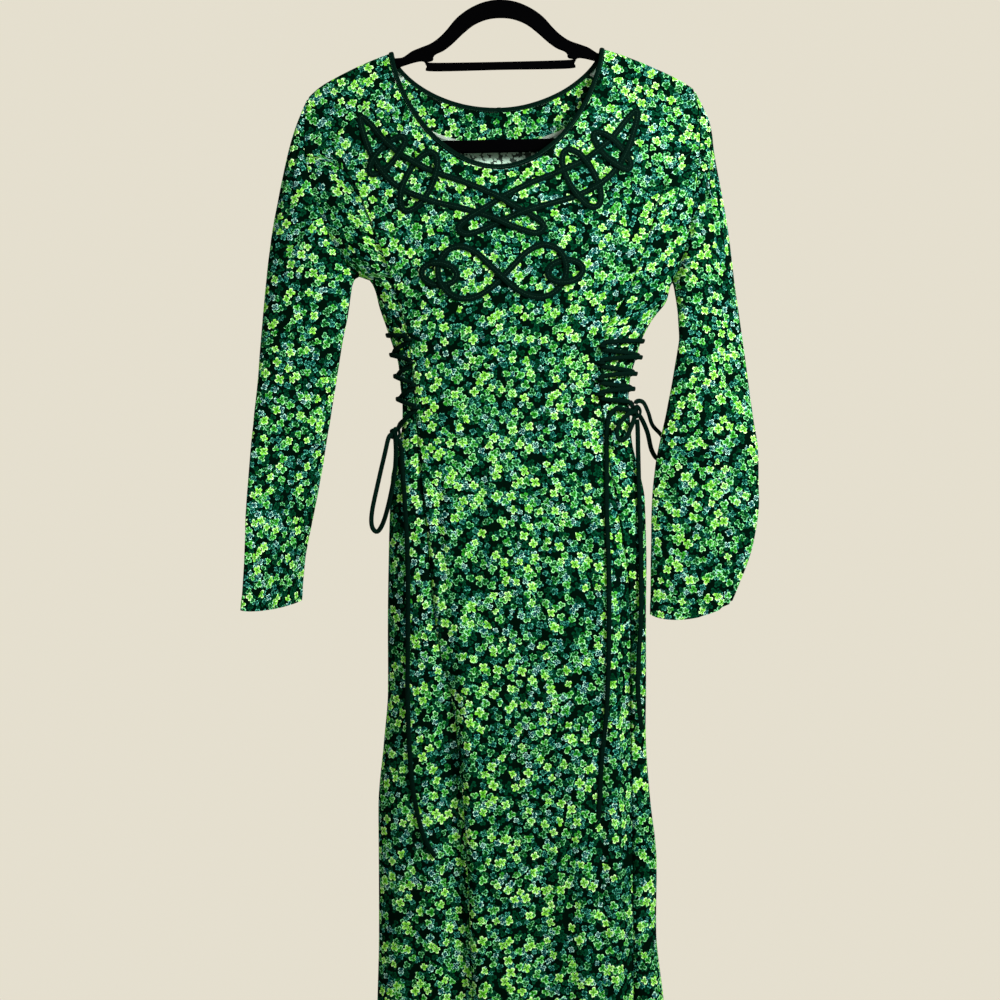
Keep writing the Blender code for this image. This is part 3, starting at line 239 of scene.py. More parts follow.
# The largest folds of the skirt. A positive depth sinks the cloth, a negative one raises it.
FOLDS = (
    # face, x at the start, x at the hem, start z, full z, half width, depth
    ("front", -84, -53, -720, -960, 12, 15), ("front", -64, -35, -640, -900, 11, -5),
    ("front", 128, 122, -640, -900, 10, 15), ("front", 111, 104, -560, -820, 11, -6),
    ("front", 20, 34, -760, -1250, 26, 8), ("front", 66, 74, -820, -1300, 17, -5),
    ("front", -8, -4, -900, -1400, 15, -4), ("back", -62, -92, -640, -1050, 15, 14),
    ("back", -20, -44, -700, -1150, 17, -6), ("back", 10, 4, -660, -1100, 18, 13),
    ("back", 42, 52, -720, -1150, 17, -6), ("back", 80, 104, -640, -1050, 15, 13),
)

# Sleeve rings below the armhole. The tilt moves the outer edge back and the inner edge forward,
# because the flat sleeve hangs a little turned.
SLEEVE_RINGS = {
    "left": (
        # outer x, outer z, inner x, inner z, half depth, tilt, middle y
        (-225.5, -229, -165.5, -396.5, 20, 0, -2), (-235.5, -262, -168.5, -404, 19, 0, -2),
        (-255, -352, -175, -441, 17, -2, -2), (-261, -400, -180.5, -463, 16, -5, -3),
        (-270.5, -505, -191, -515, 14, -14, -5), (-280, -610, -210, -612, 12, -28, -7),
        (-283, -660, -221, -660, 11, -34, -8), (-284.5, -707, -231, -705, 11, -39, -9),
        (-288.5, -754, -236, -750, 11, -42, -10),
    ),
    "right": (
        (228.5, -236, 185, -410.5, 20, 2, -2), (232.5, -268, 185.8, -417, 18.5, 4, -2),
        (248, -358, 187.8, -446, 15.5, 13, -4), (254, -410, 188.2, -468, 14.5, 17, -4),
        (259.5, -458, 185.5, -488, 13.5, 16, -4), (268.5, -550, 174, -550, 11.5, 6, -4),
        (273, -600, 162.5, -600, 10.5, 1, -4), (273, -646, 157, -646, 10, 0, -4),
        (267, -690, 154.8, -690, 9.5, 0, -4), (256, -724, 153.6, -730, 9, 0, -4),
        (241, -757, 152.2, -771, 9, 0, -4),
    ),
}
SLEEVE_HEM_SAG_MM = {"left": 4, "right": 12}
ARMHOLE_HALF_DEPTH_MM = 22

# Above the first height the rows follow the top edge, and below the second the columns are even
FADE_Z_MM = -440
EVEN_COLUMNS_Z_MM = -400

# The fine surface's rows: close together everywhere, closest at the shoulders and the hem
ROW_STEP_MM = 5
SHOULDER_SHARES = (0, 0.02, 0.08, 0.16, 0.24, 0.32, 0.4, 0.48, 0.56, 0.64, 0.72, 0.8, 0.88, 0.94,
                   0.983, 1)
SIDE_SHARES = (0, 0.03, 0.1, 0.19, 0.28, 0.37, 0.46, 0.55, 0.64, 0.73, 0.82, 0.9, 0.97, 1)
SEAM_DITCH_MM = 2.3
SHELL_OUTER_MM = 0.7
SHELL_MM = 0.8
SUNK_OUTER_MM = -1.5
HEM_ALLOWANCE_MM = 18
CUFF_ALLOWANCE_MM = 11
HEM_LINE_MM = 0.6
HEM_SUNK_MM = 0.2
HEM_RAISED_MM = 0.3
WRINKLE_MM = 0.42

# Along the sleeve, in rings of its table: the first row below the seam and the last one's height
FIRST_SLEEVE_STOP = 0.045
LAST_SLEEVE_STEP = 0.02

# Where each piece lies on the printed cloth
PRINT_SHIFTS_MM = {"front": (0, 0), "back": (431, 77), "left": (-613, 31), "right": (817, -59),
                   "facing": (92, 400)}
SLEEVE_PRINT_SHARE = 1.7
SLEEVE_PRINT_DOWN_MM = 143


def fine_heights():
    heights = [-196.7, -197.5, -198.8, -200.2, -203, -207]
    fold = HEM_Z_MM + HEM_ALLOWANCE_MM
    for goal in (SEAM_START_Z_MM, ARMPIT_Z_MM["left"], ARMPIT_Z_MM["right"], fold + 1.2, fold, fold - 1.2,
                 HEM_Z_MM + 1, HEM_Z_MM):
        start = heights[-1]
        steps = max(1, round((start - goal) / ROW_STEP_MM))
        heights += [start + (goal - start) * (k + 1) / steps for k in range(steps - 1)] + [goal]
    return tuple(heights)


ROW_HEIGHTS_MM = fine_heights()
SIDE_HEIGHTS_MM = tuple(z for z in ROW_HEIGHTS_MM if z <= SEAM_START_Z_MM)
NECK_COLUMN_ANGLES = (1.2,) + tuple(np.linspace(5, 175, 44)) + (178.8,)

# Creases, listed one by one. A positive depth sinks the cloth along a bowed line with soft ends.
CREASES = {
    "front": (
        # x at the start, z at the start, x at the end, z at the end, half width, depth
        (-152, -398, -84, -446, 6, 2.2), (172, -408, 112, -462, 6.5, 2.6),
        (-150, -344, -112, -420, 7, 1.8), (180, -330, 140, -428, 7.5, 2.3),
        (-168, -176, -132, -262, 9, 1.9), (156, -172, 128, -250, 9.5, 1.8),
        (186, -196, 176, -300, 8, 2.4), (-190, -204, -176, -284, 7, 1.7),
        (-96, -470, -38, -500, 5.5, 1.9), (-94, -512, -26, -520, 5, 1.5),
        (-95, -556, -48, -536, 5.5, 1.8), (99, -484, 44, -506, 5.5, 2), (97, -519, 30, -528, 5, 1.6),
        (101, -560, 52, -548, 5, 1.6), (-78, -586, -72, -760, 6, 2.8), (-26, -566, -40, -800, 8, 2.2),
        (34, -590, 24, -880, 9, 2.4), (74, -574, 86, -780, 7, 2.4), (4, -780, -4, -1180, 10, 2.6),
        (54, -900, 62, -1320, 9, 2.8), (-104, -880, -116, -1340, 8, 3), (96, -820, 90, -1190, 7, 2.4),
        (-126, -690, -126, -960, 5, 2), (139, -840, 143, -1290, 5.5, 2.2),
        (-22, -1120, -30, -1500, 9, 2.8), (14, -1180, 20, -1530, 8, 2.2),
        (-172, -284, -146, -344, 3.4, 3), (-150, -330, -117, -432, 3.4, 3.4),
        (-120, -420, -103, -520, 3.4, 3), (-102, -560, -92, -690, 4, 3.4),
        (-92, -660, -80, -820, 4.5, 3.4),
    ),
    "back": (
        (-142, -404, -92, -470, 6.5, 2.2), (160, -412, 104, -470, 6, 2.4),
        (-176, -186, -146, -290, 8.5, 2), (182, -188, 158, -284, 8, 2.1),
        (-20, -240, -34, -400, 11, 1.6), (40, -236, 48, -420, 10, 1.8),
        (-92, -486, -30, -506, 5.5, 1.9), (-90, -530, -22, -522, 5, 1.6), (102, -488, 36, -512, 6, 2),
        (100, -538, 40, -534, 5, 1.5), (-70, -560, -80, -770, 7, 2.4), (22, -568, 34, -820, 8, 2.4),
        (76, -580, 88, -800, 7, 2.5), (-40, -760, -54, -1160, 9, 2.6), (60, -860, 70, -1300, 9, 2.8),
        (-118, -820, -128, -1280, 7, 2.4), (126, -900, 132, -1350, 7, 2.6),
        (-8, -1080, -12, -1500, 9, 2.4),
    ),
}
# Round the sleeve in degrees, from its outer edge at 0 over its front to its inner edge at 180
SLEEVE_CREASES = {
    "left": (
        # degrees and minus the millimetres down it at the start, both at the end, half width, depth
        (18, -6, 26, -92, 6, 1.7), (44, -4, 48, -70, 5, 1.5), (88, -30, 52, -120, 6.5, 1.9),
        (92, -120, 40, -170, 6, 2.3), (94, -176, 30, -206, 5.5, 2.1), (10, -230, 62, -262, 6, 1.6),
        (92, -250, 48, -300, 6, 1.7), (24, -330, 34, -470, 6.5, 1.6), (66, -320, 60, -450, 6, 1.5),
        (84, -430, 70, -520, 5, 1.3), (-30, -20, -40, -140, 7, 1.8), (-70, -110, -30, -190, 6.5, 2.1),
        (-20, -260, -66, -310, 6, 1.8), (-48, -340, -42, -480, 7, 1.7),
    ),
    "right": (
        (14, -4, 22, -110, 6, 2.1), (32, -4, 42, -96, 5, 2.3), (50, -5, 62, -120, 5.5, 2.5),
        (68, -6, 74, -90, 5, 2), (92, -20, 78, -150, 6.5, 2.2), (30, -150, 82, -210, 6.5, 2.2),
        (96, -186, 40, -246, 6, 2.4), (90, -262, 28, -276, 5.5, 1.8), (16, -290, 60, -350, 7, 1.9),
        (88, -330, 66, -430, 6.5, 2), (40, -400, 46, -520, 7, 1.8), (18, -430, 22, -530, 6, 1.6),
        (76, -440, 80, -540, 5.5, 1.5), (-26, -10, -38, -130, 7, 1.9), (-74, -90, -34, -180, 6.5, 2),
        (-16, -240, -70, -290, 6.5, 2.1), (-50, -330, -44, -500, 7, 1.8),
    ),
}

# Stitches: length, pitch and radius in millimetres, thread and its colour. Each one has rings of
# points at these shares of its length.
STITCHES = {
    "overlock stitches": (4.6, 1.15, 0.42, "pale overlock thread", (0.55, 0.66, 0.58)),
    "hem and cuff stitches": (2.3, 3, 0.24, "green thread", (0.035, 0.16, 0.05)),
    "binding stitches": (2, 2.8, 0.26, "dark green thread", (0.008, 0.045, 0.026)),
    "tape stitches": (2, 2.9, 0.22, "tape thread", (0.006, 0.034, 0.02)),
}
STITCH_RINGS = (-0.36, 0, 0.36)
STITCH_SIDES = 6

# Room, lights and camera
FLOOR_Z = -1.6
FLOOR_HALF = 1.1
ROOM_FRONT_COLOUR = (0.46, 0.44, 0.38)
ROOM_BACK_COLOUR = (0.87, 0.82, 0.69)
LIGHTS = (
    # name, place, target, size, power, colour
    ("window", (1, -1, 0.15), (0, 0, -0.45), 0.6, 56, (1, 0.985, 0.95)),
    ("room fill", (-0.3, -1.7, 0.05), (0, 0, -0.5), 0.8, 6, (0.97, 0.98, 1)),
    ("rear fill", (0.5, 1.7, 0.1), (0, 0, -0.7), 1, 22, (1, 0.985, 0.95)),
)
CAMERA_PLACE = (-0.0106, -1.6, -0.6424)
CAMERA_LENS = 52.36
CAMERA_ROLL_DEGREES = 1.2


def clamp(value, low=0, high=1):
    return max(low, min(high, value))


def ease(value):
    value = clamp(value)
    return value * value * (3 - 2 * value)


def cubic(start, end, leave, arrive, t):
    """The point at t on the curve from start to end with the given slopes at both."""
    jump = end - start
    square = 3 * jump - 2 * leave - arrive
    return start + t * (leave + t * (square + t * (leave + arrive - 2 * jump)))


def column(table, key, value, at):
    """A smooth curve through one column of a table whose key column rises or falls."""
    places = sorted((row[key], row[value]) for row in table)
    keys, values = zip(*places)
    if at <= keys[0]:
        return values[0]
    if at >= keys[-1]:
        return values[-1]
    index = 0
    while keys[index + 1] < at:
        index += 1
    slopes = [(values[i + 1] - values[i]) / (keys[i + 1] - keys[i]) for i in range(len(keys) - 1)]

    def tangent(i):
        before, after = slopes[max(i - 1, 0)], slopes[min(i, len(slopes) - 1)]
        if i in (0, len(slopes)):
            return before
        return 0 if before * after <= 0 else 2 * before * after / (before + after)

    step = keys[index + 1] - keys[index]
    t = (at - keys[index]) / step
    return cubic(values[index], values[index + 1], tangent(index) * step, tangent(index + 1) * step, t)


# The body's surface, in millimetres

@lru_cache(maxsize=None)
def shoulder_z(x):
    return column(SHOULDER_LINES, 0 if x < 0 else 1, 2, abs(x))


@lru_cache(maxsize=None)
def armhole_x(side, z):
    return column(ARMHOLES, 0, SIDE_COLUMN[side], z)


@lru_cache(maxsize=None)
def seam_x(face, side, z):
    """The edge of a middle panel: the armhole down to the seam's start, then the seam."""
    if z >= SEAM_START_Z_MM:
        return armhole_x(side, z)
    return column(FRONT_SEAMS if face == "front" else BACK_SEAMS, 0, SIDE_COLUMN[side], z)


@lru_cache(maxsize=None)
def body_ring(z):
    """The middle and the half width of the body at a height."""
    left, right = (column(BODY_SECTIONS, 0, SIDE_COLUMN[side], z) for side in SIDES)
    return 0.5 * (left + right), 0.5 * (right - left)


@lru_cache(maxsize=None)
def body_depth(face, z):
    return column(BODY_SECTIONS, 0, 3 if face == "front" else 4, z)


def crease_depth(creases, across, down):
    """How far a table's creases sink the cloth at a place: short valleys with soft ends."""
    total = 0
    for x_0, z_0, x_1, z_1, half_width, depth in creases:
        if not min(z_0, z_1) - 3 * half_width < down < max(z_0, z_1) + 3 * half_width:
            continue
        way_x = x_1 - x_0
        way_z = z_1 - z_0
        length = math.hypot(way_x, way_z)
        along = ((across - x_0) * way_x + (down - z_0) * way_z) / length
        off = ((across - x_0) * way_z - (down - z_0) * way_x) / length
        if abs(off) > 3.2 * half_width or along < 0 or along > length:
            continue
        share = along / length
        bow = off / half_width - 0.7 * (4 * share * (1 - share) - 0.6)
        ends = ease(share * 3.2) * ease((1 - share) * 2.4)
        total += depth * ends * (math.exp(-bow * bow) - 0.45 * math.exp(-((abs(bow) - 1.6) / 0.8) ** 2))
    return total


def wrinkle(u, v, seed):
    """The small unevenness of hanging cloth, longer down than across."""
    place = Vector((u / 26, v / 58, seed))
    fine = Vector((u / 9, v / 17, seed + 7.3))
    return WRINKLE_MM * (noise.noise(place) * 1.5 + noise.noise(fine) * 0.55)


def fold_depth(face, x, z):
    total = 0
    for fold_face, x_start, x_hem, z_start, z_full, half_width, depth in FOLDS:
        if fold_face != face or z > z_start:
            continue
        along = (z_start - z) / (z_start - HEM_Z_MM)
        middle = x_start + (x_hem - x_start) * along ** 0.6
        strength = ease((z_start - z) / (z_start - z_full))
        total += depth * strength * math.exp(-((x - middle) / half_width) ** 2)
    return total


def body_y(face, x, z):
    """The depth of the front or back surface at a place seen from the front."""
    middle, half = body_ring(z)
    reach = clamp(abs(x - middle) / half)
    below = max(0, shoulder_z(x) - z)
    turn = clamp(1 - below / SHOULDER_FOLD_MM)
    fold = SHOULDER_FOLD_MM * math.sqrt(1 - turn * turn) * math.sqrt(1 - reach ** 10)
    lens = (1 - reach ** SECTION_POWER) ** (1 / SECTION_POWER)
    swell = (body_depth(face, z) - SHOULDER_FOLD_MM) * ease(below / SHOULDER_EASE_MM) ** 0.8
    sunk = fold_depth(face, x, z) + crease_depth(CREASES[face], x, z)
    sunk += wrinkle(x, z, 1 if face == "front" else 5) * ease(below / 24)
    y = fold + lens * swell - lens * sunk
    return -y if face == "front" else y


def body_point(face, x, z):
    return Vector((x, body_y(face, x, z), z))


def normal_at(point, part, place, z, step):
    """The direction square to the surface of a point function at a place and height."""
    across = point(part, place + step, z) - point(part, place - step, z)
    return across.cross(point(part, place, z - 1) - point(part, place, z + 1)).normalized()


def body_normal(face, x, z):
    """The outward direction of the body's surface."""
    normal = normal_at(body_point, face, x, z, 1)
    return -normal if (normal.y > 0) == (face == "front") else normal


def x_at_turn(side, z, turn):
    """The place on a ring at a share of the quarter turn from the middle to the side edge."""
    middle, half = body_ring(z)
    reach = math.sin(0.5 * math.pi * turn) ** (2 / SECTION_POWER)
    return middle + half * reach * SIDE_SIGN[side]


def turn_of_x(z, x):
    middle, half = body_ring(z)
    return math.asin(clamp(abs(x - middle) / half) ** (SECTION_POWER / 2)) / (0.5 * math.pi)


# The panels' grids: lists of rows of points

def neck_point(face, angle, extra=0):
    """A point of the neck's curve seen from the front, from the left (0) to the right (180)."""
    turn = math.radians(angle)
    x = NECK_CENTRE_X_MM - (NECK_HALF_WIDTH_MM + extra) * math.cos(turn)
    return x, NECK_POINT_Z_MM - (NECK_DROP_MM[face] + extra) * math.sin(turn) ** NECK_POWER


def shoulder_columns(side):
    """The places of the columns along a shoulder seam, from the neck to the sleeve."""
    start = neck_point("front", 0 if side == "left" else 180, NECK_CUT_MM)[0]
    end = SIDE_SIGN[side] * SHOULDER_END_X_MM
    return [start + (end - start) * share for share in SHOULDER_SHARES]


def top_edge(face):
    """The top edge of a middle panel, from the left shoulder's end to the right one's."""
    left, right = ([(x, shoulder_z(x)) for x in shoulder_columns(side)] for side in SIDES)
    return left[::-1] + [neck_point(face, angle, NECK_CUT_MM) for angle in NECK_COLUMN_ANGLES] + right


def middle_panel(face):
    """Rows from the shoulders and the neck to the hem, columns from left to right."""
    def edges(z):
        return seam_x(face, "left", z), seam_x(face, "right", z)

    edge = top_edge(face)
    shares = []
    for x, z in edge:
        left, right = edges(z)
        shares.append(clamp((x - left) / (right - left)))
    shares[0] = 0
    shares[-1] = 1
    top = ROW_HEIGHTS_MM[0]
    last = len(edge) - 1
    rows = []
    for height in ROW_HEIGHTS_MM:
        fade = clamp((height - FADE_Z_MM) / (top - FADE_Z_MM))
        spread = ease((top - height) / (top - EVEN_COLUMNS_Z_MM))
        left, right = edges(height)
        ditch = SEAM_DITCH_MM / (right - left)
        row = []
        for index, ((_, z_top), share) in enumerate(zip(edge, shares)):
            z = height
            if 0 < index < last:
                even = clamp(ditch + (index - 1) / (last - 2) * (1 - 2 * ditch))
                share = share + (even - share) * spread
                z += (z_top - top) * fade
            left, right = edges(z)
            row.append(body_point(face, left + (right - left) * share, z))
        rows.append(row)
    return rows


def side_half(face, side):
    """One half of a side panel: columns from its seam to the side edge or the armhole."""
    rows = []
    for height in SIDE_HEIGHTS_MM:
        seam = seam_x(face, side, height)
        armhole = armhole_x(side, height)
        start = turn_of_x(height, seam)
        end = turn_of_x(height, armhole) if height > ARMPIT_Z_MM[side] else 1
        places = [x_at_turn(side, height, start + (end - start) * share) for share in SIDE_SHARES]
        places[0] = seam
        if height >= ARMPIT_Z_MM[side]:
            places[-1] = armhole
        rows.append([body_point(face, x, height) for x in places])
    return rows


def sleeve_angles(heights):
    """The turn of each point round the armhole: the one of its own height, and an even one."""
    top, low = heights[0], heights[-1]
    angles = []
    for index, z in enumerate(heights):
        own = math.acos(clamp((2 * z - top - low) / (top - low), -1, 1))
        angles.append((own, math.pi * index / (len(heights) - 1)))
    return angles + [(2 * math.pi - own, 2 * math.pi - even) for own, even in angles[-2:0:-1]]


def ring_point(ring, angle):
    """A point of a sleeve's plain ring, from the outer edge (0) over the front."""
    outer_x, outer_z, inner_x, inner_z, depth, tilt, middle_y = ring
    across = math.cos(angle)
    x = 0.5 * (outer_x + inner_x) + 0.5 * (outer_x - inner_x) * across
    z = 0.5 * (outer_z + inner_z) + 0.5 * (outer_z - inner_z) * across
    return Vector((x, middle_y + tilt * across - depth * math.sin(angle), z))


def sleeve_stops(rings):
    """Where the fine rings of a sleeve lie, counted in rings of its table."""
    stops = [0, FIRST_SLEEVE_STOP]
    for k, (a, b) in enumerate(zip(rings, rings[1:])):
        length = max(math.hypot(a[0] - b[0], a[1] - b[1]), math.hypot(a[2] - b[2], a[3] - b[3]))
        steps = max(1, round(length / ROW_STEP_MM))
        stops += [k + (n + 1) / steps for n in range(steps)]
    return stops[:-1] + [stops[-1] - LAST_SLEEVE_STEP, stops[-1]]


def sleeve_grid(side):
    """Rings from the armhole to the cuff, with the points of the armhole: from the shoulder's end
    down the front to the armpit and up the back."""
    heights = [z for z in ROW_HEIGHTS_MM if z >= ARMPIT_Z_MM[side]]
    front, back = ([body_point(face, armhole_x(side, z), z) for z in heights] for face in FACES)
    loop = front + back[-2:0:-1]
    last = len(heights) - 1
    angles = sleeve_angles(heights)
    first = (loop[0].x, heights[0], loop[last].x, heights[last], ARMHOLE_HALF_DEPTH_MM, 0, 0)
    leftover = [point - ring_point(first, own) for point, (own, _) in zip(loop, angles)]
    plain_rings = (first,) + SLEEVE_RINGS[side]
    table = tuple((-k,) + ring for k, ring in enumerate(plain_rings))
    stops = sleeve_stops(plain_rings)
    rings = []
    run = 0
    seed = 9 if side == "left" else 13
    for t in stops:
        ring = tuple(column(table, 0, k, -t) for k in range(1, 8))
        blend = clamp(t / 4)
        keep = max(0, 1 - t / 3.5) ** 1.5
        sag = SLEEVE_HEM_SAG_MM[side] * clamp((t - stops[-1] + 2) / 2) ** 2
        points = []
        for (own, even), rest in zip(angles, leftover):
            angle = own + (even - own) * blend
            point = ring_point(ring, angle) + rest * keep
            point.z -= sag * abs(math.sin(even)) ** 1.5
            out = Vector((ring[0] - ring[2], 0, ring[1] - ring[3])).normalized() * math.cos(angle)
            out.y -= math.sin(angle)
            around = math.degrees(angle)
            sunk = crease_depth(SLEEVE_CREASES[side], around if around < 270 else around - 360, -run)
            sunk += wrinkle(55 * math.sin(angle), run + 30 * math.cos(angle), seed)
            points.append(point - out * sunk * ease(t / 0.35))
        if rings:
            run += 0.5 * sum((points[k] - rings[-1][k]).length for k in (0, last))
        rings.append(points)
    return rings


def smooth_route(points, closed=False, step=8):
    """Evenly spaced points on a smooth curve through the route's own points."""
    count = len(points)
    dense = []
    for index in range(count if closed else count - 1):
        around = [index + k for k in (-1, 0, 1, 2)]
        around = [k % count if closed else min(max(k, 0), count - 1) for k in around]
        before, start, end, after = (points[k] for k in around)
        leave, arrive = (end - before) * 0.5, (after - start) * 0.5
        dense += [cubic(start, end, leave, arrive, part / 16) for part in range(16)]
    dense.append(points[0 if closed else -1].copy())
    return even_points(dense, step)


def even_points(dense, step):
    lengths = runs_of(dense)
    count = max(2, round(lengths[-1] / step))
    spaced = []
    index = 0
    for number in range(count + 1):
        target = lengths[-1] * number / count
        while index < len(lengths) - 2 and lengths[index + 1] < target:
            index += 1
        span = max(lengths[index + 1] - lengths[index], 1e-9)
        spaced.append(dense[index].lerp(dense[index + 1], (target - lengths[index]) / span))
    return spaced


def outside_knot(points, centre):
    """The stretch of a route that stays clear of its knot."""
    def inside(point):
        parts = [(point[k] - centre[k]) / (half + LACE_CLEAR_MM) for k, half in enumerate(KNOT_HALF_MM)]
        return math.sqrt(sum(part ** 2 for part in parts)) < 1

    kept = []
    for start, end in zip(points, points[1:]):
        if not inside(start):
            kept.append(start)
        if inside(start) != inside(end):
            low, high = (start, end) if inside(start) else (end, start)
            for _ in range(24):
                middle = low.lerp(high, 0.5)
                low, high = (middle, high) if inside(middle) else (low, middle)
            if kept and (high - kept[-1]).length < 1:
                kept.pop()
            kept.append(high)
    return kept if inside(points[-1]) else kept + [points[-1]]


# Shells

def key_of(point):
    return (round(point.x, 2), round(point.y, 2), round(point.z, 2))


@dataclass
class Grid:
    """Rows of surface points with their place on the flat cloth, in millimetres.

    Seams are the edges that are sewn down: top, first and last column. The last column is a seam
    only down to the row sewn_to. The distances are those of the rows from the hemmed edge.
    """
    rows: list
    flat: list
    seams: tuple
    distances: list
    allowance: float
    flip: bool = False
    sewn_to: float = math.inf

    def faces(self):
        for i in range(len(self.rows) - 1):
            for j in range(len(self.rows[0]) - 1):
                corners = ((i, j), (i + 1, j), (i + 1, j + 1), (i, j + 1))
                yield corners[::-1] if self.flip else corners

    def lift(self, i, j):
        """The height of the right side above the surface: sunk at seams, raised at hems."""
        edges = {"top": i == 0, "first": j == 0, "last": j == len(self.rows[0]) - 1 and i <= self.sewn_to}
        if any(edges[seam] for seam in self.seams):
            return SUNK_OUTER_MM
        away = self.distances[i] - self.allowance
        if abs(away) < HEM_LINE_MM:
            return SHELL_OUTER_MM - HEM_SUNK_MM
        return SHELL_OUTER_MM + (HEM_RAISED_MM if away < 0 else 0)


def outward_normals(grids):
    """One averaged normal for each place on the garment."""
    normals = {}
    for grid in grids:
        for corners in grid.faces():
            points = [grid.rows[i][j] for i, j in corners]
            area = (points[2] - points[0]).cross(points[3] - points[1])
            for point in points:
                key = key_of(point)
                normals[key] = normals.get(key, Vector()) + area
    return {key: normal.normalized() for key, normal in normals.items()}


def flat_rows(rows, middle, shift):
    """Places on the flat cloth: across along each row from the middle column, and down."""
    flat = []
    for row in rows:
        runs = [0]
        for start, end in zip(row, row[1:]):
            runs.append(runs[-1] + math.hypot(end.x - start.x, end.y - start.y))
        start = runs[middle]
        flat.append([(shift[0] + run - start, shift[1] - point.z) for run, point in zip(runs, row)])
    return flat


def flat_sleeve(rings, shift):
    """Places on the flat sleeve: along its axis, and across it on the front and on the back, which
    meet at the outer edge."""
    count = len(rings[0]) - 1
    inner, back, outer, front = 0, count // 4, count // 2, 3 * count // 4
    first, final = (sum(ring[1:], Vector()) / count for ring in (rings[0], rings[-1]))
    axis = (final - first).normalized()
    across = axis.cross(Vector((0, 1, 0))).normalized()
    middle = rings[len(rings) // 2]
    if (middle[inner] - middle[outer]).dot(across) < 0:
        across = -across

    def ways(ring):
        around = [0]
        for start, end in zip(ring, ring[1:]):
            step = end - start
            around.append(around[-1] + (step - axis * step.dot(axis)).length)
        on_back = [place - around[back] - ring[back].dot(across) for place in around]
        on_front = [place - around[front] + ring[front].dot(across) for place in around]
        return on_back, on_front

    on_back, on_front = ways(middle)
    join = on_front[outer] - on_back[outer]
    flat = []
    for ring in rings:
        on_back, on_front = ways(ring)
        places = [u + join for u in on_back[:outer + 1]] + on_front[outer + 1:]
        down = [shift[1] + (point - first).dot(axis) for point in ring]
        flat.append([(shift[0] + u, v) for u, v in zip(places, down)])
    return flat


def garment_grids():
    """Every cloth piece of the body and the sleeves, as grids in one surface."""
    pieces = {}
    seams = ("top", "first", "last")
    down = [z - HEM_Z_MM for z in ROW_HEIGHTS_MM]
    for face in FACES:
        rows = middle_panel(face)
        flat = flat_rows(rows, len(rows[0]) // 2, PRINT_SHIFTS_MM[face])
        pieces[f"{face}_panel"] = [Grid(rows, flat, seams, down, HEM_ALLOWANCE_MM, flip=face == "back")]
    down = [z - HEM_Z_MM for z in SIDE_HEIGHTS_MM]
    for side in SIDES:
        shift = PRINT_SHIFTS_MM[side]
        armpit = SIDE_HEIGHTS_MM.index(ARMPIT_Z_MM[side])
        halves = []
        for face in FACES:
            rows = side_half(face, side)
            flat = flat_rows(rows, -1, shift)
            if face == "back":
                flat = [[(2 * shift[0] - u, v) for u, v in row] for row in flat]
            flip = (side == "left") == (face == "front")
            halves.append(Grid(rows, flat, seams, down, HEM_ALLOWANCE_MM, flip, armpit))
        pieces[f"side_panel_{side}"] = halves
        rings = sleeve_grid(side)
        inner = len(rings[0]) // 2
        rings = [ring[inner:] + ring[:inner + 1] for ring in rings]
        away = runs_of([ring[0] for ring in rings[::-1]])[::-1]
        flat = flat_sleeve(rings, (SLEEVE_PRINT_SHARE * shift[0], SLEEVE_PRINT_DOWN_MM))
        pieces[f"sleeve_{side}"] = [Grid(rings, flat, ("top",), away, CUFF_ALLOWANCE_MM, side == "right")]
    return pieces


def shell_mesh(name, grids, normals):
    """A thin closed shell: right side, wrong side and rim, as materials 0, 1 and 2."""
    index, edges = {}, {}
    points, faces, places, slots = [], [], [], []
    for grid in grids:
        for corners in grid.faces():
            ids, spots = [], []
            for i, j in corners:
                point = grid.rows[i][j]
                key = key_of(point)
                if key not in index:
                    index[key] = len(points) // 2
                    lift = grid.lift(i, j)
                    points += [(point + normals[key] * height) * MM for height in (lift, lift - SHELL_MM)]
                if index[key] not in ids:
                    ids.append(index[key])
                    spots.append((grid.flat[i][j][0] * MM, -grid.flat[i][j][1] * MM))
            if len(ids) < 3:
                continue
            faces += [[2 * n for n in ids], [2 * n + 1 for n in reversed(ids)]]
            places += [spots, spots[::-1]]
            slots += [0, 1]
            for a, b, spot_a, spot_b in zip(ids, ids[1:] + ids[:1], spots, spots[1:] + spots[:1]):
                if edges.pop((b, a), None) is None:
                    edges[(a, b)] = (spot_a, spot_b)
    for (a, b), (spot_a, spot_b) in edges.items():
        faces.append([2 * b, 2 * a, 2 * a + 1, 2 * b + 1])
        places.append([spot_b, spot_a, spot_a, spot_b])
        slots.append(2)
    return new_mesh(name, points, faces, places, slots)


def new_mesh(name, points, faces, places, slots=None, sharp=50):
    mesh = bpy.data.meshes.new(name)
    mesh.from_pydata([tuple(point) for point in points], [], faces)
    layer = mesh.uv_layers.new(name="UVMap")
    layer.data.foreach_set("uv", [value for spots in places for spot in spots for value in spot])
    if slots:
        mesh.polygons.foreach_set("material_index", slots)
    mesh.shade_smooth()
    mesh.set_sharp_from_angle(angle=math.radians(sharp))
    mesh.update()
    return mesh


# Bands, cords and stitches

def directions(route, closed):
    """The direction of a route at each of its points."""
    before = route[-1:] + route[:-1] if closed else route[:1] + route[:-1]
    after = route[1:] + (route[:1] if closed else route[-1:])
    return [(end - start).normalized() for start, end in zip(before, after)]


def runs_of(points):
    runs = [0]
    for start, end in zip(points, points[1:]):
        runs.append(runs[-1] + (end - start).length)
    return runs


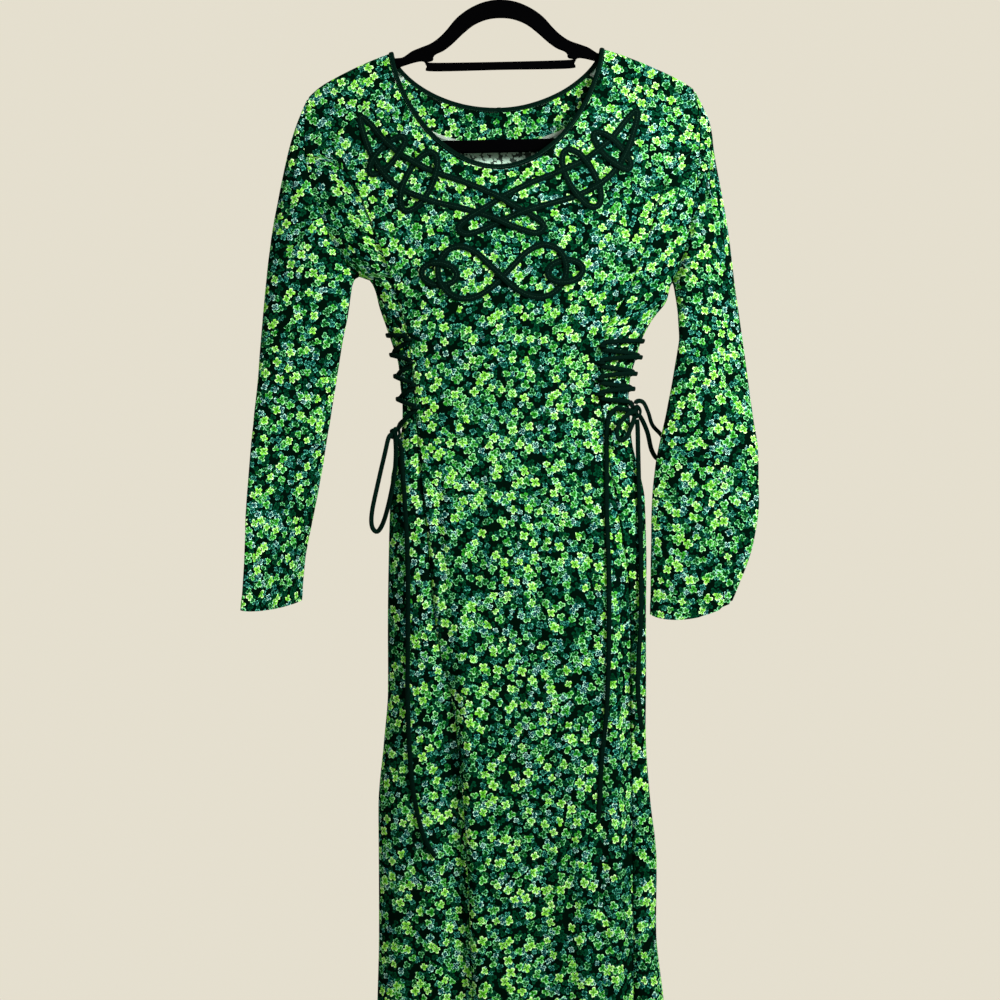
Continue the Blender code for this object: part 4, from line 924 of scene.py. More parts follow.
def band_mesh(name, route, normals, closed, size, sides=12, power=2.6):
    """A soft flat band of the given width and thickness along a route."""
    section = []
    for k in range(sides):
        turn = 2 * math.pi * (k + 0.5) / sides
        ways = (math.cos(turn), math.sin(turn))
        x, y = (math.copysign(abs(way) ** (2 / power), way) for way in ways)
        section.append((0.5 * size[0] * x, 0.5 * size[1] * y))
    around = [0]
    for a, b in zip(section, section[1:] + section[:1]):
        around.append(around[-1] + math.hypot(b[0] - a[0], b[1] - a[1]))
    count = len(route)
    runs = runs_of(route + route[:1])
    points, faces, places = [], [], []
    for point, normal, along in zip(route, normals, directions(route, closed)):
        across = along.cross(normal).normalized()
        up = across.cross(along)
        points += [(point + across * x + up * y) * MM for x, y in section]
    for n in range(count if closed else count - 1):
        here, ahead = n * sides, (n + 1) % count * sides
        for k in range(sides):
            m = (k + 1) % sides
            faces.append([here + k, here + m, ahead + m, ahead + k])
            spots = ((k, n), (k + 1, n), (k + 1, n + 1), (k, n + 1))
            places.append([(around[i] * MM, runs[j] * MM) for i, j in spots])
    if not closed:
        last = (count - 1) * sides
        faces += [list(reversed(range(sides))), [last + k for k in range(sides)]]
        places += [[(0, 0)] * sides] * 2
    return new_mesh(name, points, faces, places)


def carried_normals(points, first):
    """Normals along a route that turn no more than the route does."""
    normals = []
    normal = first
    for along in directions(points, False):
        normal = (normal - along * normal.dot(along)).normalized()
        normals.append(normal)
    return normals


def stitch_mesh(name, lines, length, pitch, radius, crosswise):
    """Stitches as small capsules, each sunk halfway in the cloth. A line is points and normals."""
    sides = STITCH_SIDES
    points, faces = [], []
    for route, normals in lines:
        runs = runs_of(route)
        count = int(runs[-1] / pitch)
        n = 0
        for number in range(count):
            target = (number + 0.5) * runs[-1] / count
            while runs[n + 1] < target:
                n += 1
            share = (target - runs[n]) / max(runs[n + 1] - runs[n], 1e-9)
            middle = route[n].lerp(route[n + 1], share)
            up = normals[n].lerp(normals[n + 1], share).normalized()
            way = (route[n + 1] - route[n]).normalized()
            if crosswise:
                way = up.cross(way).normalized()
            beside = up.cross(way).normalized()
            base = len(points)
            points.append((middle - way * 0.5 * length) * MM)
            for x in STITCH_RINGS:
                sag = up * (0.5 * radius if x == 0 else 0)
                for k in range(sides):
                    turn = 2 * math.pi * k / sides
                    off = beside * math.cos(turn) + up * math.sin(turn)
                    points.append((middle + way * x * length + off * radius + sag) * MM)
            points.append((middle + way * 0.5 * length) * MM)
            end = len(points) - 1
            for k in range(sides):
                m = (k + 1) % sides
                faces += [[base, base + 1 + m, base + 1 + k], [end, end - sides + k, end - sides + m]]
                for low in (base + 1, base + 1 + sides):
                    faces.append([low + k, low + m, low + sides + m, low + sides + k])
    return new_mesh(name, points, faces, [[(0, 0)] * len(face) for face in faces], sharp=180)


# The chest interlace and the side lacing

def motif_strands():
    """Closed routes seen from the front, in millimetres."""
    def flat(points, sign):
        return [Vector((MOTIF_CENTRE_X_MM + sign * x, 0, z)) for x, z in points]

    def oval(size):
        lean = math.radians(size["lean"])
        for step in range(24):
            turn = 2 * math.pi * step / 24
            across = size["half_width"] * math.cos(turn)
            up = size["half_height"] * math.sin(turn)
            x = size["x"] + across * math.cos(lean) - up * math.sin(lean)
            yield x, size["z"] + across * math.sin(lean) + up * math.cos(lean)

    routes = {f"chest_wing_{side}": flat(WING, sign) for side, sign in SIDE_SIGN.items()}
    routes["chest_lobes"] = flat(LOBE, 1) + flat(LOBE, -1)
    for part, size in (("leaf", LEAF_MM), ("ring", RING_MM), ("upper_ring", UPPER_RING_MM)):
        for side, sign in SIDE_SIGN.items():
            routes[f"chest_{part}_{side}"] = flat(oval(size), sign)
    return {name: smooth_route(points, True, TAPE_STEP_MM)[:-1] for name, points in routes.items()}


def crossing_share(a, b, c, d):
    """Where segment a-b meets segment c-d, as shares along both, or None."""
    ab, cd, ac = b - a, d - c, c - a
    turn = ab.x * cd.z - ab.z * cd.x
    if abs(turn) < 1e-9:
        return None
    shares = (ac.x * cd.z - ac.z * cd.x) / turn, (ac.x * ab.z - ac.z * ab.x) / turn
    return shares if all(0 <= share < 1 for share in shares) else None


def weave(strands):
    """Over places of each strand, alternating along it."""
    segments = []
    for name, points in strands.items():
        segments += [(name, k, point, points[(k + 1) % len(points)]) for k, point in enumerate(points)]
    events = {name: [] for name in strands}
    partner = {}
    for i, (name_a, index_a, a, b) in enumerate(segments):
        count = len(strands[name_a])
        for name_b, index_b, c, d in segments[i + 1:]:
            if abs(a.x - c.x) > CROSSING_REACH_MM or abs(a.z - c.z) > CROSSING_REACH_MM:
                continue
            if name_a == name_b and (index_b - index_a) % count in (1, count - 1):
                continue
            shares = crossing_share(a, b, c, d)
            if shares is None:
                continue
            first, second = (name_a, index_a + shares[0]), (name_b, index_b + shares[1])
            events[name_a].append(first)
            events[name_b].append(second)
            partner[first], partner[second] = second, first
    for line in events.values():
        line.sort()
    over = {}
    for first in events.values():
        waiting = [(start, True) for start in first[:1]]
        while waiting:
            event, is_over = waiting.pop()
            if event in over:
                continue
            over[event] = is_over
            line = events[event[0]]
            place = line.index(event)
            for near in (partner[event], line[(place + 1) % len(line)], line[place - 1]):
                waiting.append((near, not is_over))
    return {name: [event[1] for event in line if over[event]] for name, line in events.items()}


def tape_heights(points, over_places, low, high):
    """The height of a strand above the cloth at each of its points."""
    count = len(points)
    step = (points[1] - points[0]).length
    heights = []
    for index in range(count):
        lift = 0
        for place in over_places:
            away = abs(index - place)
            away = min(away, count - away) * step
            lift = max(lift, 1 - ease((away - OVER_PLATEAU_MM) / OVER_RAMP_MM))
        heights.append(low + (high - low) * lift)
    return heights


def side_point(side, share, z):
    """A place on a side panel, from its front seam (0) round the side edge (0.5) to its back seam."""
    face = "front" if share < 0.5 else "back"
    start = turn_of_x(z, seam_x(face, side, z))
    along = 1 - abs(2 * share - 1)
    return body_point(face, x_at_turn(side, z, start + (1 - start) * along), z)


def side_normal(side, share, z):
    normal = normal_at(side_point, side, share, z, 0.02)
    return -normal if (normal.x > 0) == (side == "left") else normal


def lifted(side, share, z, height):
    return side_point(side, share, z) + side_normal(side, share, z) * height


def on_side(side, place):
    """The point at a place of (share in hundredths, z, height)."""
    return lifted(side, place.x / 100, place.y, place.z)


def knot_centre(side):
    share, z = LACING[side]["knot"]
    return lifted(side, share, z, KNOT_LIFT_MM)


# Materials

class Nodes:
    """Short names for the shader nodes of one tree."""

    def __init__(self, tree):
        self.tree = tree

    def put(self, value, socket):
        if isinstance(value, bpy.types.NodeSocket):
            self.tree.links.new(value, socket)
        else:
            socket.default_value = value

    def add(self, kind, values=(), **settings):
        """The outputs of a new node. Its values go to its first inputs, or to the ones they name."""
        node = self.tree.nodes.new("ShaderNode" + kind)
        for name, setting in settings.items():
            setattr(node, name, setting)
        for key, value in values.items() if isinstance(values, dict) else enumerate(values):
            self.put(value, node.inputs[key])
        return node.outputs

    def math(self, operation, *values):
        return self.add("Math", values, operation=operation)[0]

    def vector(self, operation, *values):
        keys = (0, "Scale" if operation == "SCALE" else 1)
        outputs = self.add("VectorMath", dict(zip(keys, values)), operation=operation)
        return outputs["Value" if operation == "LENGTH" else "Vector"]

    def soft_step(self, value, low, high):
        return self.add("MapRange", (value, low, high), interpolation_type="SMOOTHSTEP")[0]

    def mix(self, share, *colours):
        first, second = (c if isinstance(c, bpy.types.NodeSocket) else (*c, 1) for c in colours)
        return self.add("Mix", {0: share, 6: first, 7: second}, data_type="RGBA")[2]

    def noise(self, vector, scale, detail=2):
        return self.add("TexNoise", {"Vector": vector, "Scale": scale, "Detail": detail})["Fac"]

    def flat_place(self):
        return self.add("UVMap", uv_map="UVMap")[0]

    def object_place(self):
        return self.add("TexCoord")["Object"]

    def split(self, vector):
        return self.add("SeparateXYZ", (vector,))

    def bump(self, height, strength, distance):
        return self.add("Bump", {"Height": height, "Strength": strength, "Distance": distance})[0]


def clover_group():
    """One scattered layer of leaves of three or four lobes on the flat cloth."""
    tree = bpy.data.node_groups.new("clover_layer", "ShaderNodeTree")
    for name in ("Vector", "Cell", "Leaves", "Radius", "Share", "Seed"):
        kind = "NodeSocketVector" if name == "Vector" else "NodeSocketFloat"
        tree.interface.new_socket(name, in_out="INPUT", socket_type=kind)
    for name in ("Mask", "Rim", "Core", "Tone"):
        tree.interface.new_socket(name, in_out="OUTPUT", socket_type="NodeSocketFloat")
    given = tree.nodes.new("NodeGroupInput").outputs
    result = tree.nodes.new("NodeGroupOutput").inputs
    n = Nodes(tree)
    seed = given["Seed"]
    turned = n.add("VectorRotate", {"Vector": given["Vector"], "Angle": seed}, rotation_type="Z_AXIS")[0]
    scaled = n.vector("SCALE", turned, n.math("DIVIDE", 1, given["Cell"]))
    moved = n.add("CombineXYZ", (seed, n.math("MULTIPLY", seed, 1.618)))[0]
    place = n.vector("ADD", scaled, moved)
    sowing = {"Vector": place, "Scale": 1, "Randomness": 0.92}
    cells = n.add("TexVoronoi", sowing, voronoi_dimensions="2D")
    chance = n.add("SeparateColor", (cells["Color"],))
    local = n.vector("SUBTRACT", place, cells["Position"])
    reach = n.vector("LENGTH", local)
    x, y, _ = n.split(local)
    turn = n.math("MULTIPLY_ADD", chance[0], 6.283, n.math("ARCTAN2", y, x))
    half = n.math("MULTIPLY", n.math("MULTIPLY", turn, given["Leaves"]), 0.5)
    lobe = n.math("ABSOLUTE", n.math("COSINE", half))
    round_lobe = n.math("MULTIPLY_ADD", n.math("POWER", lobe, 0.62), 0.93, 0.1)
    notch = n.math("MULTIPLY", n.soft_step(lobe, 0.955, 1), 0.1)
    size = n.math("MULTIPLY", given["Radius"], n.math("MULTIPLY_ADD", chance[2], 0.35, 0.8))
    leaf = n.math("MULTIPLY", size, n.math("SUBTRACT", round_lobe, notch))
    uneven = n.math("MULTIPLY_ADD", n.noise(place, 3.1, 1), 0.16, -0.08)
    inside = n.math("ADD", n.math("SUBTRACT", leaf, reach), uneven)
    here = n.math("LESS_THAN", chance[1], given["Share"])
    n.put(n.math("MULTIPLY", n.soft_step(inside, -0.012, 0.012), here), result["Mask"])
    broken = n.soft_step(n.noise(place, 2.6, 1), 0.4, 0.52)
    line = n.math("SUBTRACT", 1, n.soft_step(inside, 0.045, 0.1))
    n.put(n.math("MULTIPLY", line, broken), result["Rim"])
    depth = n.math("DIVIDE", reach, n.math("MAXIMUM", leaf, 0.01))
    n.put(n.math("SUBTRACT", 1, n.soft_step(depth, 0.18, 0.72)), result["Core"])
    n.put(chance[0], result["Tone"])
    return tree


# The print's layers from the lowest to the top one
PRINT_GROUND = (0.0003, 0.0032, 0.0016)
PRINT_LAYERS = (
    # cell, leaves, radius, share, seed, two leaf colours, rim colour, rim strength, core colour
    (0.008, 3, 0.45, 0.86, 41.9,
     (0, 0.02, 0.006), (0.001, 0.034, 0.015), (0.004, 0.075, 0.03), 0.6, (0, 0.008, 0.003)),
    (0.0088, 4, 0.4, 0.5, 3.1,
     (0, 0.03, 0.016), (0.001, 0.052, 0.05), (0.1, 0.5, 0.36), 0.9, (0, 0.009, 0.006)),
    (0.0102, 3, 0.43, 0.44, 8.7,
     (0.001, 0.05, 0.006), (0.003, 0.095, 0.011), (0.2, 0.66, 0.3), 0.95, (0.001, 0.016, 0.002)),
    (0.0098, 4, 0.39, 0.2, 14.9,
     (0.001, 0.05, 0.056), (0.003, 0.07, 0.08), (0.46, 0.86, 0.72), 0.98, (0.001, 0.018, 0.02)),
    (0.0106, 3, 0.43, 0.34, 21.3,
     (0.008, 0.165, 0.01), (0.034, 0.29, 0.024), (0.38, 0.8, 0.4), 0.92, (0.002, 0.05, 0.001)),
    (0.0118, 4, 0.42, 0.36, 33.7,
     (0.08, 0.36, 0.018), (0.2, 0.58, 0.05), (0.64, 0.93, 0.5), 0.92, (0.016, 0.13, 0.002)),
)
WRONG_SIDE = (0.52, 0.76, 0.62)
TRIM_COLOUR = (0.0003, 0.0036, 0.0022)
EDGE_COLOUR = (0.1, 0.26, 0.1)
VELVET_COLOURS = ((0.0003, 0.0003, 0.0004), (0.0009, 0.0009, 0.0011))
WIRE_COLOUR = (0.62, 0.62, 0.64, 1)
FLOOR_COLOUR = (0.78, 0.75, 0.69, 1)
THREADS = 9000


def print_colour(n, clovers):
    colour = PRINT_GROUND
    place = n.flat_place()
    for *numbers, first, second, rim, rim_share, core in PRINT_LAYERS:
        values = dict(zip(("Cell", "Leaves", "Radius", "Share", "Seed"), numbers), Vector=place)
        layer = n.add("Group", values, node_tree=clovers)
        leaf = n.mix(layer["Core"], n.mix(layer["Tone"], first, second), core)
        leaf = n.mix(n.math("MULTIPLY", layer["Rim"], rim_share), leaf, rim)
        colour = n.mix(layer["Mask"], colour, leaf)
    return colour


def new_material(name, roughness, look, metallic=0, sheen=0, shine=0.04):
    """A material whose colour and surface come from a function of its nodes."""
    material = bpy.data.materials.new(name)
    material.use_nodes = True
    n = Nodes(material.node_tree)
    sockets = material.node_tree.nodes["Principled BSDF"].inputs
    colour, normal = look(n)
    for key, value in (("Roughness", roughness), ("Metallic", metallic), ("Sheen Weight", sheen),
                       ("Specular IOR Level", shine), ("Base Color", colour), ("Normal", normal)):
        if value is not None:
            n.put(value, sockets[key])
    return material


def weave_bump(n):
    """The fine threads of plain woven cloth."""
    waves = [n.math("SINE", n.math("MULTIPLY", part, THREADS)) for part in n.split(n.flat_place())[:2]]
    slub = n.noise(n.flat_place(), 420)
    height = n.math("ADD", n.math("MULTIPLY", n.math("ADD", *waves), 0.3), slub)
    return n.bump(height, 0.35, 0.00015)


def wrong_side(n, clovers):
    """Pale cloth with the print shining through."""
    printed = print_colour(n, clovers)
    green = n.add("SeparateColor", (printed,))[1]
    show = n.math("MULTIPLY_ADD", n.soft_step(green, 0.0034, 0.012), -0.84, 0.92)
    return n.mix(show, WRONG_SIDE, printed), weave_bump(n)


def trim_material(name, ribs):
    """Dark woven tape or lace with fine ribs across its run."""
    def look(n):
        across, along, _ = n.split(n.flat_place())
        rib = n.math("SINE", n.math("MULTIPLY_ADD", along, ribs, n.math("MULTIPLY", across, 0.6 * ribs)))
        share = n.math("MULTIPLY_ADD", rib, 0.3, n.noise(n.object_place(), 900))
        lighter = tuple(1.9 * value for value in TRIM_COLOUR)
        return n.mix(share, TRIM_COLOUR, lighter), n.bump(rib, 0.5, 0.0002)

    return new_material(name, 0.66, look, shine=0.008)


def velvet(n):
    grain = n.noise(n.object_place(), 1400, 4)
    return n.mix(grain, *VELVET_COLOURS), n.bump(grain, 0.4, 0.0002)


def wire(n):
    return WIRE_COLOUR, n.bump(n.noise(n.object_place(), 260), 0.06, 0.0002)


def thread_material(name, colour):
    def look(n):
        darker = tuple(0.6 * value for value in colour)
        return n.mix(n.noise(n.object_place(), 1500), colour, darker), None

    return new_material(name, 0.7, look, sheen=0.03)


# Pieces

def new_object(name, data):
    thing = bpy.data.objects.new(name, data)
    bpy.context.scene.collection.objects.link(thing)
    return thing


def add_piece(name, mesh, materials, in_part=True):
    """A piece of the body. In the part, the node of the same name is what it replaces."""
    node = name.replace(" ", "_")
    for material in materials:
        mesh.materials.append(material)
    thing = new_object(node + ("_look" if in_part else ""), mesh)
    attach(thing, "root")
    if in_part:
        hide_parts(node)
    return thing


def add_band(name, route, normals, closed, size, material, slot="trim", in_part=True, **shape):
    mesh = band_mesh(name, route, normals, closed, size, **shape)
    return add_piece(name, mesh, (material,), in_part)


def add_stitches(name, lines):
    """Stitches along lines of points and normals."""
    length, pitch, radius, thread, colour = STITCHES[name]
    crosswise = name == "overlock stitches"
    mesh = stitch_mesh(name, lines, length, pitch, radius, crosswise)
    add_piece(name, mesh, (thread_material(thread, colour),), False)


def add_sheet(name, grids, normals, materials):
    """A shell of cloth, with the cut it is made from."""
    title = name.replace("_", " ")
    thing = add_piece(title, shell_mesh(title, grids, normals), materials)


def add_cloth(clovers):
    """The panels, the sleeves and the facing, each a sheet of its own cut."""
    materials = (
        new_material("printed cloth", 0.72, lambda n: (print_colour(n, clovers), weave_bump(n)), shine=0),
        new_material("wrong side of the cloth", 0.85, lambda n: wrong_side(n, clovers), shine=0),
        thread_material("cut edge", EDGE_COLOUR),
    )
    pieces = garment_grids()
    normals = outward_normals([grid for grids in pieces.values() for grid in grids])
    for name, grids in pieces.items():
        add_sheet(name, grids, normals, materials)
    add_facing(materials)
    return pieces, normals


def add_facing(materials):
    """The facing inside the back of the neck, right side to the viewer, with its overlocked edge."""
    rows = []
    for down in np.linspace(0, FACING_DEPTH_MM, 13):
        row = []
        for angle in np.linspace(*FACING_ANGLES, 61):
            x, z = neck_point("back", angle, NECK_CUT_MM + down)
            gap = 0.5 * CLOTH_MM + 1 + 0.4 * math.sin(0.11 * x)
            row.append(body_point("back", x, z) - body_normal("back", x, z) * gap)
        rows.append(row)
    unhemmed = [HEM_ALLOWANCE_MM] * len(rows)
    grid = Grid(rows, flat_rows(rows, len(rows[0]) // 2, PRINT_SHIFTS_MM["facing"]), (), unhemmed, 0)
    normals = outward_normals([grid])
    add_sheet("back_neck_facing", [grid], normals, materials)
    lines = []
    for route in (rows[-1], [row[0] for row in rows], [row[-1] for row in rows]):
        fine = smooth_route(route, step=2)
        nearest = (round(k * (len(route) - 1) / (len(fine) - 1)) for k in range(len(fine)))
        spread = [normals[key_of(route[k])] for k in nearest]
        lines.append(([p + n * OVERLOCK_LIFT_MM for p, n in zip(fine, spread)], spread))
    add_stitches("overlock stitches", lines)


def add_stitching(pieces, normals):
    """The lines of stitches that hold the hem and the cuffs."""
    lines = []
    for grid in (grid for grids in pieces.values() for grid in grids):
        i = min(range(len(grid.rows)), key=lambda k: abs(grid.distances[k] - grid.allowance))
        around = [normals[key_of(point)] for point in grid.rows[i]]
        lines.append(([p + n * (SHELL_OUTER_MM - 0.1) for p, n in zip(grid.rows[i], around)], around))
    add_stitches("hem and cuff stitches", lines)


def add_neck_binding(material):
    """The bias binding rolled over the cut edge of the neck, with its line of stitches."""
    angles = [0, 1.2, 3, *np.linspace(5, 175, 86), 177, 178.8]
    raw = [body_point("front", *neck_point("front", angle)) for angle in angles]
    raw += [body_point("back", *neck_point("back", 180 - angle)) for angle in angles]
    route = smooth_route(raw, closed=True, step=2)[:-1]
    middle = Vector((NECK_CENTRE_X_MM, 0, NECK_POINT_Z_MM + 30))
    normals, inwards = [], []
    for point, along in zip(route, directions(route, True)):
        inward = middle - point
        inwards.append((inward - along * inward.dot(along)).normalized())
        normals.append(along.cross(inwards[-1]).normalized())
    uneven = [0.12 * math.sin(0.19 * k) for k in range(len(route))]
    route = [p + i * 0.2 + n * rise for p, i, n, rise in zip(route, inwards, normals, uneven)]
    add_band("neck binding", route, normals, True, BINDING_MM, material, sides=16, power=2.5)
    lines = []
    inset, lift = BINDING_STITCH_MM
    for sign in (1, -1):
        line = [p - i * inset + n * (sign * lift) for p, i, n in zip(route, inwards, normals)]
        lines.append((line + line[:1], [n * sign for n in normals + normals[:1]]))
    add_stitches("binding stitches", lines)
    join = [n for n, p in enumerate(route) if p.y > 0 and abs(p.x - NECK_CENTRE_X_MM - 1) < 3.4]
    fold, up = [route[n] for n in join], [normals[n] for n in join]
    add_band("binding join", fold, up, False, JOIN_MM, material, in_part=False, sides=16, power=2.5)


def add_chest_interlace(material):
    """The flat tape of the interlace, sewn to the chest, over and under in turn."""
    low = SHELL_OUTER_MM + TAPE_AIR_MM + 0.5 * TAPE_MM[1]
    strands = motif_strands()
    over_places = weave(strands)
    lines = []
    for name, flat in strands.items():
        heights = tape_heights(flat, over_places[name], low, low + TAPE_MM[1] + TAPE_AIR_MM)
        raised = [Vector((p.x, height, p.z)) for p, height in zip(flat, heights)]
        places = smooth_route(raised, closed=True, step=FINE_STEP_MM)[:-1]
        normals = [body_normal("front", place.x, place.z) for place in places]
        points = [body_point("front", p.x, p.z) + n * p.y for p, n in zip(places, normals)]
        title = name.replace("_", " ")
        add_band(title, points, normals, True, TAPE_MM, material, in_part="upper" not in name, power=3.2)
        points, normals = points + points[:1], normals + normals[:1]
        lines.append(([p + n * (0.5 * TAPE_MM[1]) for p, n in zip(points, normals)], normals))
    add_stitches("tape stitches", lines)


def add_lace(name, points, normals, material):
    thing = add_band(name, points, normals, False, LACE_MM, material)


def lacing_stops(side):
    """The two runs' stops on the side panel: share round it, height and height above the cloth."""
    levels = LACING[side]["levels"]
    low = SHELL_OUTER_MM + LACING_AIR_MM + 0.5 * LACE_MM[1]
    high = low + LACE_MM[1] + LACE_AIR_MM
    knot_share, knot_z = LACING[side]["knot"]
    start = levels[0] + 8
    runs = {"a": [(0.84, start, low), (0.5, start, low + EDGE_LIFT_MM)], "b": []}
    for number, level in enumerate(levels):
        for name, stops in runs.items():
            in_front = (name == "a") == (number % 2 == 0)
            if number:
                middle = 0.5 * (level + levels[number - 1])
                height = EDGE_LIFT_MM + (high if in_front else low)
                onward = -0.12 if in_front else 0.12
                stops += [(0.5 + k * onward, middle - k, height) for k in (-1, 0, 1)]
            share, near = (0, TURN_REACH) if in_front else (1, 1 - TURN_REACH)
            stops += [(near, level + TURN_HALF_MM, low + 0.6), (share, level + 0.55 * TURN_HALF_MM, low),
                      (share, level - 0.55 * TURN_HALF_MM, low), (near, level - TURN_HALF_MM, low + 0.6)]
    for stops in runs.values():
        near = knot_share - 0.1 if stops[-1][0] < 0.5 else knot_share + 0.12
        stops.append((near, knot_z + 11, low + 2))
    return runs


def add_lacing(side, material):
    """Two runs through the loops of both seams, and the loops over them."""
    centre = knot_centre(side)
    places = {}
    for name, stops in lacing_stops(side).items():
        places[name] = smooth_route([Vector((100 * share, z, lift)) for share, z, lift in stops], step=1)
        on_cloth = [on_side(side, place) for place in places[name]]
        out = [side_normal(side, place.x / 100, place.y) for place in places[name]]
        route = outside_knot(even_points(on_cloth + [centre], FINE_STEP_MM), centre)
        normals = []
        for point in route:
            nearest = min(range(len(out)), key=lambda k: (on_cloth[k] - point).length_squared)
            normals.append(out[nearest])
        add_lace(f"lacing {side} {name}", route, normals, material)
    for face, share in (("front", 0), ("back", 1)):
        for number, level in enumerate(LACING[side]["levels"]):
            name = "a" if (face == "front") == (number % 2 == 0) else "b"
            add_loop(side, f"loop {side} {face} {number + 1}", share, level, places[name], material)


def add_loop(side, name, share, level, places, material):
    """A small loop of rolled cloth over the lace, with both feet in the seam."""
    near = [i for i in range(1, len(places) - 1) if abs(places[i].x - 100 * share) < 20]
    index = min(near, key=lambda i: abs(places[i].y - level))
    place = places[index]
    base = side_point(side, place.x / 100, place.y)
    normal = side_normal(side, place.x / 100, place.y)
    along = (on_side(side, places[index + 1]) - on_side(side, places[index - 1])).normalized()
    across = along.cross(normal).normalized()
    rise = 2 * SHELL_OUTER_MM + LACE_MM[1] + LOOP_AIR_MM
    points = []
    for step in range(19):
        turn = math.pi * step / 18
        out = LOOP_FOOT_MM + (rise - LOOP_FOOT_MM) * math.sin(turn) ** 0.7
        points.append(base + across * (LOOP_HALF_WIDTH_MM - 0.4) * math.cos(turn) + normal * out)
    add_band(name, points, [along] * len(points), False, LOOP_MM, material, sides=10)


def add_knot(side, material):
    """The laces' knot: one lace round itself, drawn tight."""
    centre = knot_centre(side)
    middle, swing = KNOT_RING_MM
    rise, tilt = KNOT_RISE_MM
    points = []
    for step in range(72):
        turn = 2 * math.pi * step / 72
        ring = middle + swing * math.cos(3 * turn)
        points.append(centre + Vector((ring * math.cos(2 * turn), ring * math.sin(2 * turn) * 0.92,
                                       rise * math.sin(3 * turn) + tilt * math.sin(turn))))
    normals = [(point - centre).normalized() for point in points]
    add_band(f"lace knot {side}", points, normals, True, KNOT_LACE_MM, material)


def over_cloth(route, lift):
    """A route that lies on the front of the skirt and bridges its folds."""
    reach = 9
    depths = [(body_point("front", p.x, p.z) + body_normal("front", p.x, p.z) * lift).y for p in route]
    resting = []
    for k, point in enumerate(route):
        window = depths[max(0, k - reach):k + reach + 1]
        resting.append(Vector((point.x, min(depths[k], sum(window) / len(window)), point.z)))
    return resting


def add_lace_ends(material):
    lift = SHELL_OUTER_MM + LACE_AIR_MM + 0.5 * LACE_MM[1]
    for name, table in (LACE_ENDS | LACE_BOWS).items():
        side = "left" if "left" in name else "right"
        centre = knot_centre(side)
        is_bow = name in LACE_BOWS
        if table[0][1] is None:
            lying = over_cloth(smooth_route([Vector((x, 0, z)) for x, _, z in table], step=3), lift)
            stops = lying[::3] + lying[-1:]
        else:
            stops = [Vector(row) for row in table] + ([centre] if is_bow else [])
        route = outside_knot(smooth_route([centre] + stops, step=FINE_STEP_MM), centre)
        first = (0.35, -1, 0.1) if is_bow else (0.15 * SIDE_SIGN[side], -1, 0)
        normals = carried_normals(route, Vector(first))
        add_lace(name.replace("_", " "), route, normals, material)


def arm_top(x):
    cloth_z = min(shoulder_z(x), shoulder_z(-x))
    near_neck = math.exp(-((x - NECK_HALF_WIDTH_MM) / 13) ** 4)
    return cloth_z - ARM_BELOW_CLOTH_MM - (ARM_BELOW_BINDING_MM - ARM_BELOW_CLOTH_MM) * near_neck


def add_hanger(material):
    """The flat flocked frame with softly rounded edges."""
    arm = [(x, arm_top(x)) for x in ARM_PLACES_MM]
    under_arm = [(x, z - ARM_HEIGHT_MM) for x, z in arm[:5]]
    lower_hole = [*HANGER_BARS, *under_arm, *HANGER_INNER_END]
    curve = bpy.data.curves.new("hanger frame", "CURVE")
    curve.dimensions = "2D"
    curve.fill_mode = "BOTH"
    curve.bevel_depth = HANGER_EDGE_MM * MM
    curve.bevel_resolution = 3
    curve.offset = -HANGER_EDGE_MM * MM
    curve.extrude = (0.5 * HANGER_THICKNESS_MM - HANGER_EDGE_MM) * MM
    for half in ([*HANGER_TOP, *arm, *HANGER_END], HANGER_ARCH, lower_hole):
        outline = [*half, *((-x, z) for x, z in reversed(half) if x)]
        fine = smooth_route([Vector((x, z, 0)) for x, z in outline], closed=True, step=2.5)[:-1]
        spline = curve.splines.new("POLY")
        spline.points.add(len(fine) - 1)
        for point, place in zip(spline.points, fine):
            point.co = (place.x * MM, place.y * MM, 0, 1)
        spline.use_cyclic_u = True
    guide = new_object("hanger outline", curve)
    mesh = bpy.data.meshes.new_from_object(guide.evaluated_get(bpy.context.evaluated_depsgraph_get()))
    bpy.data.objects.remove(guide)
    mesh.transform(Matrix.Rotation(0.5 * math.pi, 4, "X"))
    mesh.materials.clear()
    mesh.shade_smooth()
    mesh.set_sharp_from_angle(angle=math.radians(40))
    add_piece("hanger frame", mesh, (material,))


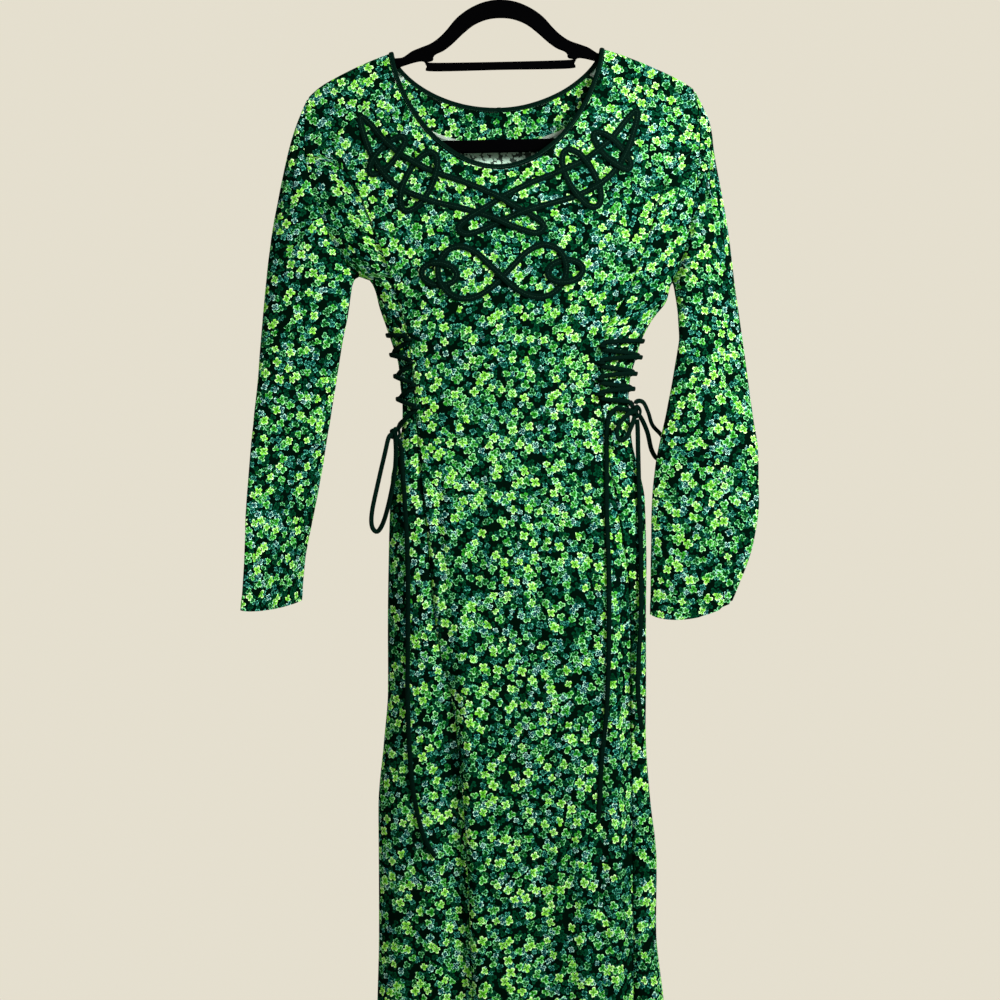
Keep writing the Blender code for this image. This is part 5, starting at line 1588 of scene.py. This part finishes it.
def add_hook(material):
    """The wire hook: a straight stem, a bend to the right and a bow over the top to the left."""
    radius = HOOK_BOW_RADIUS_MM + 0.5 * HOOK_WIRE_MM
    stops = list(HOOK_STEM_MM)
    for step in range(17):
        turn = math.radians(-62 + 258 * step / 16)
        stops.append((radius * math.cos(turn), radius * math.sin(turn) - HOOK_BOW_RADIUS_MM))
    route = smooth_route([Vector((x, 0, z)) for x, z in stops], step=1.5)
    normals = [Vector((0, -1, 0))] * len(route)
    size = (HOOK_WIRE_MM, HOOK_WIRE_MM)
    add_band("hanger hook", route, normals, False, size, material, "hook", sides=18, power=2)


# Room, lights and camera

def add_light(name, place, target, size, power, colour):
    data = bpy.data.lights.new(name, "AREA")
    data.shape = "DISK"
    data.size = size
    data.energy = power
    data.color = colour
    thing = new_object(name, data)
    thing.location = place
    thing.rotation_euler = (Vector(target) - Vector(place)).to_track_quat("-Z", "Y").to_euler()


def add_room():
    bpy.context.scene.view_settings.view_transform = "Standard"
    world = bpy.data.worlds.new("pale room")
    world.use_nodes = True
    sky = world.node_tree.nodes["Background"].inputs
    sky["Strength"].default_value = 0.9
    n = Nodes(world.node_tree)
    _, depth, _ = n.split(n.add("TexCoord")["Generated"])
    n.put(n.mix(n.soft_step(depth, -0.35, 0.55), ROOM_FRONT_COLOUR, ROOM_BACK_COLOUR), sky["Color"])
    bpy.context.scene.world = world
    mesh = bpy.data.meshes.new("pale floor")
    ends = (-FLOOR_HALF, FLOOR_HALF)
    corners = [(ends[i], ends[j], FLOOR_Z) for i, j in ((0, 0), (1, 0), (1, 1), (0, 1))]
    mesh.from_pydata(corners, [], [(0, 1, 2, 3)])
    mesh.materials.append(new_material("pale floor", 0.8, lambda n: (FLOOR_COLOUR, None)))
    new_object("pale floor", mesh)
    for light in LIGHTS:
        add_light(*light)


def add_camera():
    data = bpy.data.cameras.new("front view")
    data.lens = CAMERA_LENS
    data.sensor_width = 36
    camera = new_object("front view", data)
    camera.location = CAMERA_PLACE
    camera.rotation_euler = (0.5 * math.pi, math.radians(CAMERA_ROLL_DEGREES), 0)
    bpy.context.scene.camera = camera


def main():
    pieces, normals = add_cloth(clover_group())
    add_stitching(pieces, normals)
    tape = trim_material("dark green tape", 5200)
    lace = trim_material("dark green lace", 4200)
    add_neck_binding(tape)
    add_chest_interlace(tape)
    for side in SIDES:
        add_lacing(side, lace)
        add_knot(side, lace)
    add_lace_ends(lace)
    add_hanger(new_material("black velvet flock", 0.92, velvet, shine=0))
    add_hook(new_material("steel wire", 0.3, wire, metallic=1, shine=0.5))
    add_room()
    add_camera()


main()
